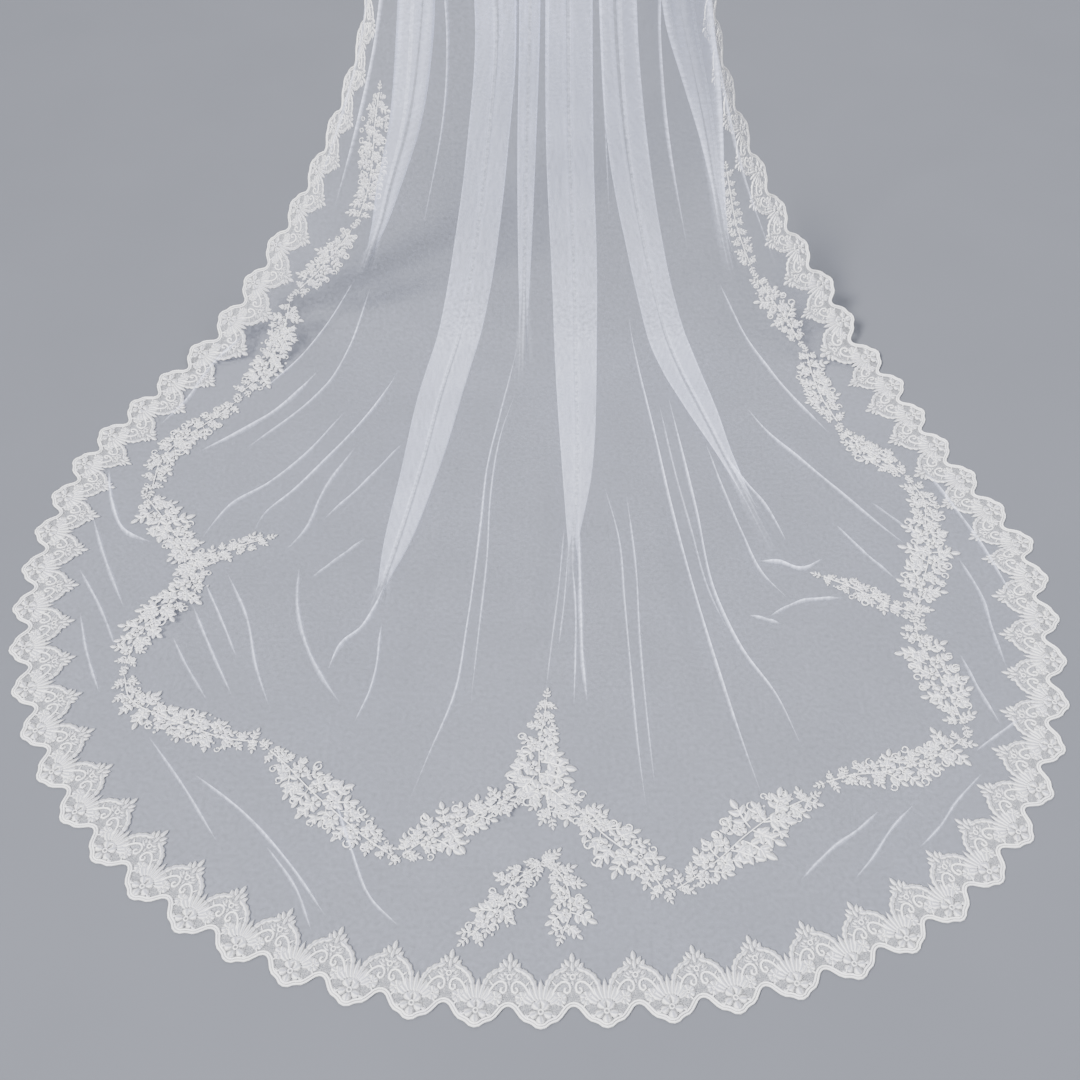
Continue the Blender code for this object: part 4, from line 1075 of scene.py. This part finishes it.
def tulle_material():
    """Sheer net: its density is the mesh's own, a little uneven, as the photograph's bands are."""
    material, tree, shader = new_material("sheer_tulle")
    place = tree.nodes.new("ShaderNodeTexCoord").outputs["UV"]
    density = tree.nodes.new("ShaderNodeAttribute")
    density.attribute_name = "net_density"
    grain = noise(tree, place, 480.0, 3.0)
    cloud = noise(tree, place, 26.0, 2.0)
    grain = times(tree, times(tree, grain, 2.2), -0.1, "ADD")
    cloud = times(tree, times(tree, cloud, 0.6), 0.7, "ADD")
    alpha = times(tree, times(tree, density.outputs["Fac"], grain), cloud)
    tree.links.new(alpha, shader.inputs["Alpha"])
    tint = ramp(tree, noise(tree, place, 9.0), ((0.3, (0.69, 0.73, 0.93)), (0.7, (0.74, 0.77, 0.95))))
    finish(tree, shader, tint, Roughness=0.55, Sheen_Weight=0.3, Sheen_Roughness=0.4)
    return material


def thread_material():
    """Satin stitches: fine ridges across each cord and leaf, and a faint change of tint. Down the
    middle of a leaf or petal, where the stitches part, runs a darker line of painted shade."""
    material, tree, shader = new_material("lace_thread")
    coordinates = tree.nodes.new("ShaderNodeTexCoord")
    wave = tree.nodes.new("ShaderNodeTexWave")
    wave.bands_direction = "Y"
    wave.inputs["Scale"].default_value = 2.2
    wave.inputs["Distortion"].default_value = 1.2
    tree.links.new(coordinates.outputs["UV"], wave.inputs["Vector"])
    fuzz = noise(tree, coordinates.outputs["Object"], 900.0, 2.0)
    height = times(tree, wave.outputs["Fac"], times(tree, fuzz, 0.6), "ADD")
    tree.links.new(bump(tree, height, 0.45, 0.0006), shader.inputs["Normal"])
    tint = ramp(tree, noise(tree, coordinates.outputs["Object"], 60.0),
                ((0.30, (0.91, 0.90, 0.95)), (0.62, (0.96, 0.955, 0.965))))
    across = tree.nodes.new("ShaderNodeSeparateXYZ")
    tree.links.new(coordinates.outputs["UV"], across.inputs["Vector"])
    # Painted shade: the colour darkens to a thin line down the middle of each leaf and petal, where the
    # stitches part; cords lie outside the ramp and stay light.
    off_middle = times(tree, times(tree, across.outputs["X"], -0.5, "ADD"), 0.0, "ABSOLUTE")
    parting_shade = ramp(tree, off_middle, ((0.06, (0.42, 0.43, 0.49)), (0.25, (1.0, 1.0, 1.0))))
    shaded = tree.nodes.new("ShaderNodeMix")
    shaded.data_type = "RGBA"
    shaded.blend_type = "MULTIPLY"
    shaded.inputs["Factor"].default_value = 1.0
    tree.links.new(tint, shaded.inputs[MIX_COLOUR_A])
    tree.links.new(parting_shade, shaded.inputs[MIX_COLOUR_B])
    finish(tree, shader, shaded.outputs[MIX_COLOUR_OUT], Roughness=0.62, Sheen_Weight=0.25)
    return material


def ground_material():
    """The lace's own net: hexagons of about two millimetres, mostly open."""
    material, tree, shader = new_material("lace_net")
    place = tree.nodes.new("ShaderNodeTexCoord").outputs["UV"]
    cells = tree.nodes.new("ShaderNodeTexVoronoi")
    cells.feature = "DISTANCE_TO_EDGE"
    cells.inputs["Scale"].default_value = 2.0
    tree.links.new(place, cells.inputs["Vector"])
    lines = times(tree, cells.outputs["Distance"], 0.10, "LESS_THAN")
    tree.links.new(times(tree, times(tree, lines, 0.30), 0.04, "ADD"), shader.inputs["Alpha"])
    tint = ramp(tree, noise(tree, place, 3.0), ((0.3, (0.84, 0.84, 0.90)), (0.7, (0.90, 0.90, 0.93))))
    finish(tree, shader, tint, Roughness=0.6)
    return material


def comb_material():
    material, tree, shader = new_material("comb_silver")
    place = tree.nodes.new("ShaderNodeTexCoord").outputs["Object"]
    worn = noise(tree, place, 240.0, 4.0)
    tint = ramp(tree, worn, ((0.3, (0.62, 0.63, 0.66)), (0.7, (0.82, 0.83, 0.85))))
    finish(tree, shader, tint, Metallic=1.0, Roughness=0.28)
    tree.links.new(bump(tree, worn, 0.15, 0.0002), shader.inputs["Normal"])
    return material


def floor_material():
    material, tree, shader = new_material("studio_floor")
    place = tree.nodes.new("ShaderNodeTexCoord").outputs["Object"]
    tint = ramp(tree, noise(tree, place, 3.0), ((0.3, (0.112, 0.118, 0.140)), (0.7, (0.118, 0.124, 0.147))))
    finish(tree, shader, tint, Roughness=0.8)
    return material


# Studio

FLOOR_REACH = 30.0
FLOOR_GAP = 0.0006
CAMERA_PLACE = (-0.005, -2.10, -0.08)
CAMERA_DOWN = 48.1  # degrees below level
CAMERA_LENS = 44.47


def make_studio():
    """A broad floor under the train, three soft lights and the camera at the photograph's angle."""
    reach = FLOOR_REACH
    points = np.array([(-reach, -reach, 0), (reach, -reach, 0), (reach, reach, 0), (-reach, reach, 0)])
    points = points - [0, 0, COMB_HEIGHT + FLOOR_GAP]
    mesh = bpy.data.meshes.new("floor")
    mesh.from_pydata(points.tolist(), [], [(0, 1, 2, 3)])
    mesh.materials.append(floor_material())
    floor = bpy.data.objects.new("floor", mesh)
    bpy.context.scene.collection.objects.link(floor)
    lights = (
        ("key", "SUN", (-2.4, -2.6, 2.0), (0.0, -0.6, -1.2), 6.5, 0.30, (1.0, 0.995, 0.98)),
        ("soft", "AREA", (-1.6, -3.0, 1.6), (0.0, -0.7, -1.6), 150.0, 1.6, (1.0, 0.99, 0.98)),
        ("fill", "AREA", (2.8, -2.2, 1.2), (0.1, -0.7, -1.5), 82.0, 2.2, (0.95, 0.97, 1.0)),
        ("back", "AREA", (0.3, 2.4, 1.8), (0.0, -0.5, -1.5), 108.0, 1.8, (0.98, 0.98, 1.0)),
    )
    for name, kind, place, target, power, size, colour in lights:
        data = bpy.data.lights.new(name, kind)
        data.energy = power
        data.color = colour
        if kind == "SUN":
            data.angle = size
        else:
            data.size = size
        lamp = bpy.data.objects.new(name, data)
        lamp.location = place
        way = np.array(target) - np.array(place)
        tilt, turn = math.atan2(math.hypot(way[0], way[1]), -way[2]), math.atan2(-way[0], way[1])
        lamp.rotation_euler = (tilt, 0.0, turn)
        bpy.context.scene.collection.objects.link(lamp)
    world = bpy.data.worlds.new("studio")
    world.use_nodes = True
    world.node_tree.nodes["Background"].inputs["Color"].default_value = (0.86, 0.88, 0.92, 1.0)
    world.node_tree.nodes["Background"].inputs["Strength"].default_value = 0.57
    bpy.context.scene.world = world
    data = bpy.data.cameras.new("camera")
    data.sensor_width = 36.0
    data.lens = CAMERA_LENS
    camera = bpy.data.objects.new("camera", data)
    camera.location = CAMERA_PLACE
    camera.rotation_euler = (math.radians(90 - CAMERA_DOWN), 0.0, 0.0)
    bpy.context.scene.collection.objects.link(camera)
    bpy.context.scene.camera = camera


def main():
    make_studio()
    thread = thread_material()
    tulle = make_tulle(tulle_material())
    edging = make_edging([thread, ground_material()])
    sprays = make_sprays([thread])
    make_comb_stitches(thread)
    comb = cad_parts["comb"]
    comb.data.materials.clear()
    comb.data.materials.append(comb_material())


main()
